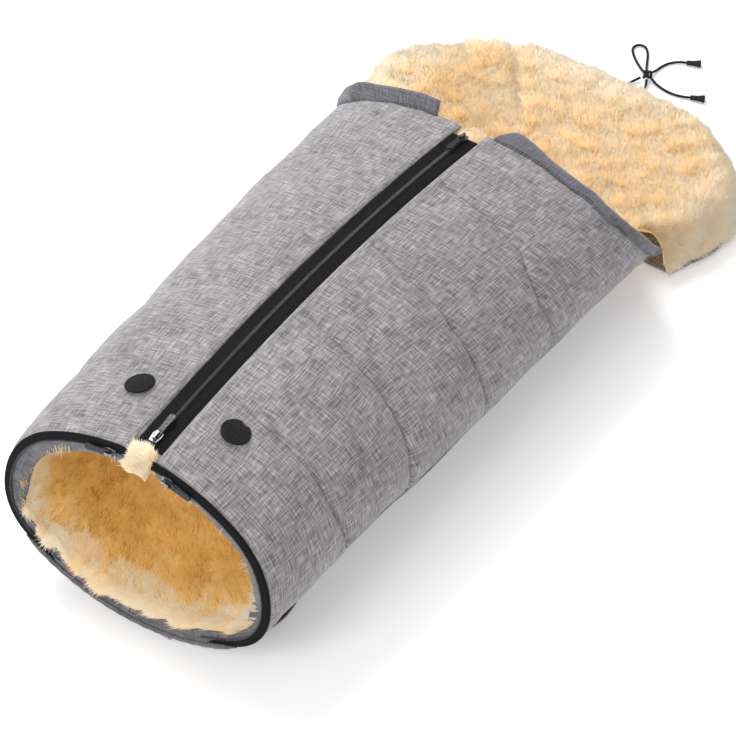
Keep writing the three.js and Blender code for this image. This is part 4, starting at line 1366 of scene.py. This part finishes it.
for side, label in SIDES:
    facing = skin(f"foot_facing_{label}_cloth", 160, 12, facing_place(side))
    face_out(facing, FOOTWARD)
    thicken(facing, 0.0018)
    round_off(facing)
    finish_piece(facing, "muff", "dark_fabric", SHADED_CLOTH, f"foot_facing_{label}")

# %% [markdown]
# ## Zips
# Each zip is two woven tapes and two coils. The tape is a strip with a ribbed
# weave, a raised edge and a sewn line. The coil is a row of small teeth, which is
# what a spiral coil looks like once it is sewn to its tape.

# %% Front zip
ZIP_FROM, ZIP_TO = 0.018, 0.985
TAPE_EDGE, TAPE_IN = 0.0147, 0.0022
TOOTH_STEP, TOOTH_AHEAD, TOOTH_HIGH = 0.00165, 0.00125, 0.0022


def tape_place(side):
    def place(u, v):
        share = ZIP_FROM + (ZIP_TO - ZIP_FROM) * u
        x = 0.0001 + (TAPE_EDGE + 0.0009) * v
        cord_edge = 0.0007 * ridge(x - TAPE_IN - 0.001, 0.0011)
        rib = 0.00012 * np.cos(x * 2 * math.pi / 0.0014)
        angle = side * zip_angle(share, x)
        under_coil = 0.0016 * (1 - ease(x, 0.0010, 0.0021))
        ripple = 0.0004 * flat_cloud(u * 0.7, x, 0.02, 4)
        depth = 0.0008 + under_coil - cord_edge - rib + ripple
        return tube(share, angle, depth), share * ALONG, x
    return place


for side, label in SIDES:
    tape = skin(f"front_zip_tape_{label}_web", 260, 22, tape_place(side))
    face_out(tape, UPWARD)
    thicken(tape, 0.0011)
    finish_piece(tape, "muff", "zip_tape", TAPE, f"front_zip_tape_{label}")
    share = np.linspace(ZIP_FROM, ZIP_TO, 400)
    path = tube(share, side * zip_angle(share, 0.00095), 0.0004)
    places, ahead, _ = along_path(path, TOOTH_STEP)
    if side > 0:
        places = places + ahead * TOOTH_STEP / 2
    across, up = frame_along(ahead, np.broadcast_to(UPWARD, ahead.shape))
    coil = teeth(f"front_zip_coil_{label}_teeth", places, across, ahead, up,
                 (0.0030, TOOTH_AHEAD, TOOTH_HIGH))
    finish_piece(coil, "muff", "zip_coil", COIL, f"front_zip_coil_{label}")
    seam = tube(share, side * zip_angle(share, 0.0122), 0.0003)
    stitches(f"front_zip_stitches_{label}", seam, np.broadcast_to(UPWARD, seam.shape),
             "muff", "zip_tape", step=0.0032, length=0.0023, wide=0.0006, material=CORD)

# %% [markdown]
# ## Foot zip
# The zip round the open foot end is made as the front one is, but its tape lies in
# the plane of the rim and narrows where the flap's fold begins.

# %% Foot zip on the muff
RIM_FROM_X, RIM_TO = 0.013, 160
RIM_CROWN = 0.2227           # radius of the rim's top arc


def rim_tape_place(side):
    first = math.degrees(math.asin(RIM_FROM_X / RIM_CROWN))

    def place(u, v):
        angle = side * spread(u, first, RIM_TO)
        narrow = 1 - 0.9 * ease(u, 0.93, 1.0)
        depth = 0.0004 + 0.0082 * v * narrow
        raised_edge = 0.0005 * ridge(v - 1, 0.2)
        sunk_edge = 0.0022 * ridge(v, 0.12)
        ahead = 0.0026 * narrow + raised_edge - sunk_edge
        return tube(0, angle, depth, ahead), side * girth_at(angle), depth
    return place


for side, label in SIDES:
    tape = skin(f"foot_zip_tape_{label}_web", 220, 10, rim_tape_place(side))
    face_out(tape, FOOTWARD)
    thicken(tape, 0.0012)
    finish_piece(tape, "muff", "zip_tape", TAPE, f"foot_zip_tape_{label}")
    angle = side * spread(np.linspace(0, 1, 300), 3.4, RIM_TO)
    path = tube(0, angle, 0.0096, 0.0024)
    places, ahead, _ = along_path(path, TOOTH_STEP)
    forward = tube(0, 0.0, 0, 1.0) - tube(0, 0.0, 0, 0.0)
    across, up = frame_along(ahead, np.broadcast_to(forward, ahead.shape))
    coil = teeth(f"foot_zip_coil_{label}_teeth", places, across, ahead, up,
                 (0.0026, TOOTH_AHEAD, TOOTH_HIGH))
    finish_piece(coil, "muff", "zip_coil", COIL, f"foot_zip_coil_{label}")

# %% [markdown]
# ## Fastening dots
# Each dot is a disc of hook tape sewn to the panel: a flat disc with a rounded rim
# and a sewn ring.

# %% Make the dots
for label in ("left", "right"):
    low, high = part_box(f"dot_{label}")
    centre = (low + high) / 2
    outline = [(0, 0.0009), (0.012, 0.0009), (0.0128, 0.0006), (0.0136, 0.0009),
               (0.0149, 0.0008), (0.0155, 0.0002), (0.0153, -0.0012), (0, -0.0012)]
    side = 1 if centre.x > 0 else -1
    up = Vector(tube(0.15, side * 15.0, 0)) - Vector(tube(0.15, side * 15.0, 0.01))
    dot = spun(f"dot_{label}_disc", outline, centre, up.normalized(), 48)
    finish_piece(dot, "muff", "fastening_dot", DOT, f"dot_{label}")

# %% [markdown]
# ## Foot flap
# The flap that closes the foot end is unzipped and folded flat under the muff. Its
# fabric, fleece, tape and coil start from the frame's own solids. The cloth is
# remeshed into small even faces and given soft waves, and the fleece gets locks.

# %% Soft copies of a solid
FLAP_TUCK = 0.84             # the flap's sides are tucked in under the muff


def soft_copy(name, node, voxel=0, wave=0, size=0.02, seed=81):
    """A frame solid, tucked in at the sides, with even faces and soft waves if asked."""
    bm = bmesh.new()
    bm.from_mesh(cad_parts[node].data)
    bmesh.ops.remove_doubles(bm, verts=bm.verts, dist=1e-5)
    bmesh.ops.scale(bm, vec=(FLAP_TUCK, 1, 1), verts=bm.verts)
    piece = link_mesh(name, bm)
    if voxel:
        remesh = piece.modifiers.new("even", "REMESH")
        remesh.mode = "VOXEL"
        remesh.voxel_size = voxel
        soften = piece.modifiers.new("soften", "SMOOTH")
        soften.factor = 0.5
        soften.iterations = 3
        settle(piece)
    mesh = piece.data
    points, normals = points_of(mesh), normals_of(mesh)
    if wave:
        move_points(mesh, points + normals * (wave * cloud(points, size, seed))[:, None])
        points = points_of(mesh)
    mesh.polygons.foreach_set("use_smooth", np.ones(len(mesh.polygons), bool))
    lay_uv(mesh, points[:, 1] - points[:, 2], points[:, 0])
    return piece


flap_cloth = soft_copy("flap_cloth", "flap_shell", 0.0022, 0.0004, 0.03)
finish_piece(flap_cloth, "foot_flap", "woven_fabric", CLOTH, "flap_shell")


def flap_tone(points):
    return np.full(len(points), 0.55)


flap_hide = soft_copy("flap_fleece_hide", "flap_lining", 0.0026, 0.0007, 0.018, seed=83)
keep_values(flap_hide.data, "tip", np.full(len(flap_hide.data.vertices), 0.25))
keep_values(flap_hide.data, "tone", flap_tone(points_of(flap_hide.data)))
low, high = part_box("flap_lining")
flap_pile = pile("flap_fleece", flap_hide, 30000, 0.0055, 0.0019, 84, tone=flap_tone,
                 where=lambda p: (p[:, 2] < low.z + 0.002) * 1.0)
finish_piece(flap_hide, "foot_flap", "sheepskin_wool", WOOL, "flap_lining")
finish_piece(flap_pile, "foot_flap", "sheepskin_wool", WOOL)
for side in ("left", "right"):
    for part, slot, material in (("tape", "zip_tape", TAPE), ("coil", "zip_coil", COIL)):
        strip = soft_copy(f"flap_zip_{part}_{side}_strip", f"flap_zip_{part}_{side}")
        finish_piece(strip, "foot_flap", slot, material, f"flap_zip_{part}_{side}")

# %% [markdown]
# ## Fold of the flap
# The flap swings on a fold of the woven fabric, darkened with painted shade. The fold follows the
# lowest part of the rim, so it is a tube along the rim with tapered ends.

# %% Fold that the flap swings on
FOLD_REACH = 30              # degrees to each side of the lowest point
fold_turn = np.linspace(180 - FOLD_REACH, 180 + FOLD_REACH, 121)
fold_path = tube(0, np.where(fold_turn <= 180, fold_turn, fold_turn - 360), 0.0012, 0.0028)
fold_length = float(np.linalg.norm(np.diff(fold_path, axis=0), axis=1).sum())


def fold_shape(far, turn):
    end = np.minimum(far, fold_length - far)
    ripple = 1 + 0.10 * np.sin(far * 420) * np.cos(turn)
    return (0.25 + 0.75 * ease(end, 0.0, 0.02)) * ripple


fold_roll = sweep("flap_fold_roll", fold_path, 0.0026, 16, fold_shape)
finish_piece(fold_roll, "muff", "dark_fabric", SHADED_CLOTH, "flap_hinge_fold")

# %% [markdown]
# ## Tufts and fringe
# Beyond each end of the front zip the two halves part and a little wool comes
# through. More of it stands out over the facing at the bottom of the rim. Both are
# piles on small hides, combed outwards.

# %% Tufts beyond the ends of the front zip
def tuft_place(share_low, share_high, half, depth):
    def place(u, v):
        share = share_low + (share_high - share_low) * u
        x = half * (2 * v - 1)
        rise = TUFT_DOME * (1 - (2 * v - 1) ** 2) * (1 - (2 * u - 1) ** 2)
        rise = rise - 0.012 * (1 - ease(share, -0.014, 0.004))
        rise = rise + 0.0015 * flat_cloud(u, v, 0.3, 7)
        angle = np.sign(x + 1e-9) * zip_angle(share, np.abs(x))
        return tube(share, angle, depth - rise), u, v
    return place


TUFT_DOME = 0.003
# name, first and last share of the tube, half width, depth, locks, tone
for name, low_share, high_share, half, depth, count, body_tone in (
        ("foot", -0.016, 0.014, 0.0125, 0.004, 5200, 0.80),
        ("neck", 0.978, 1.012, 0.0135, 0.016, 3200, 0.6)):
    base = skin(f"wool_tuft_{name}_hide", 24, 16,
                tuft_place(low_share, high_share, half, depth))
    face_out(base, UPWARD)
    keep_values(base.data, "tip", np.full(len(base.data.vertices), 0.3))
    keep_values(base.data, "tone", np.full(len(base.data.vertices), body_tone))
    tuft = pile(f"wool_tuft_{name}", base, count, 0.0095, 0.0013, 90, lean=0.7,
                tone=lambda p, level=body_tone: np.full(len(p), level))
    thicken(base, 0.004)
    for piece in (base, tuft):
        finish_piece(piece, "muff", "sheepskin_wool", WOOL)

# %% Wool that sticks out over the facing at the bottom of the rim
def low_rim(points):
    return (1 - ease(points[:, 1] - FOOT_Y, 0.010, 0.022)) * (1 - ease(points[:, 2], 0.07, 0.15))


fringe = pile("wool_rim_fringe", inside, 24000, 0.0165, 0.0016, 95, lean=0.6, tone=inside_tone_and_shade,
              where=low_rim, comb=(0, -0.8, 0))
finish_piece(fringe, "muff", "sheepskin_wool", SHADED_INSIDE_WOOL)

# %% [markdown]
# ## Sewing and metal parts
# A row of stitches follows each quilted line of the finished panel. The sliders,
# pulls and eyelets keep the shape that they have in the frame and get a material.

# %% Sewing on the quilted lines
SEWN_STEPS = 90


def sewn_row(piece, row, first, last=0.985):
    """Points and normals of a finished panel along one row of its grid, from zip to side."""
    mesh = piece.data
    u, v = values_of(mesh, "u"), values_of(mesh, "v")
    near = np.flatnonzero((np.abs(u - row) < 0.0035) & (v > first) & (v < last))
    bins = np.linspace(first, last, SEWN_STEPS)
    which = np.digitize(v[near], bins)
    points, normals = points_of(mesh)[near], normals_of(mesh)[near]
    used = [k for k in range(1, SEWN_STEPS) if (which == k).any()]
    return (np.array([points[which == k].mean(0) for k in used]),
            np.array([normals[which == k].mean(0) for k in used]))


for number, row in enumerate(LINE_ROWS, 1):
    path, outward = sewn_row(front_right, row, first=0.22 if number == 1 else 0.03)
    stitches(f"quilting_stitches_right_{number}", path, outward, "muff", "woven_fabric",
             lift=0.0002)

# %% Metal and other nodes that keep their own shape
for name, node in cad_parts.items():
    if node.hide_render:
        continue
    material = METAL if "slider" in name or "eyelet" in name else BLACK_METAL
    node.data.materials.clear()
    node.data.materials.append(material)
    print("kept node", name, material.name)

# %% [markdown]
# ## Floor and light
# A white floor and a white sky fill the picture. A large soft lamp on the left
# gives the panels their shape and a soft shadow on the right, and a weaker one
# beyond the foot end lights the wool inside.

# %% Floor and lights
FLOOR_Z = -0.0005            # just below the muff
bm = bmesh.new()
bmesh.ops.create_grid(bm, x_segments=2, y_segments=2, size=9)
floor = link_mesh("studio_floor", bm)
floor.location.z = FLOOR_Z
paper, paper_shader = node_material("paper", 0.9, specular=0.1)
paper_shader.inputs["Base Color"].default_value = (0.93, 0.93, 0.93, 1)
paper_shader.inputs["Emission Color"].default_value = (1, 1, 1, 1)
paper_shader.inputs["Emission Strength"].default_value = 0.22
floor.data.materials.append(paper)

world = bpy.data.worlds.new("studio")
scene.world = world
world.use_nodes = True
world.node_tree.nodes["Background"].inputs["Color"].default_value = (1, 1, 1, 1)
world.node_tree.nodes["Background"].inputs["Strength"].default_value = 0.60


def lamp(name, place, aim, size, power):
    light = bpy.data.objects.new(name, bpy.data.lights.new(name, "AREA"))
    light.data.size = size
    light.data.energy = power
    light.location = place
    light.rotation_euler = (Vector(aim) - Vector(place)).to_track_quat("-Z", "Y").to_euler()
    scene.collection.objects.link(light)


lamp("key", (-2.0, 1.0, 2.8), (0, 0, 0.1), 2.0, 92)
lamp("foot_fill", (-0.2, -2.7, 2.3), (0, -0.4, 0.1), 1.3, 40)
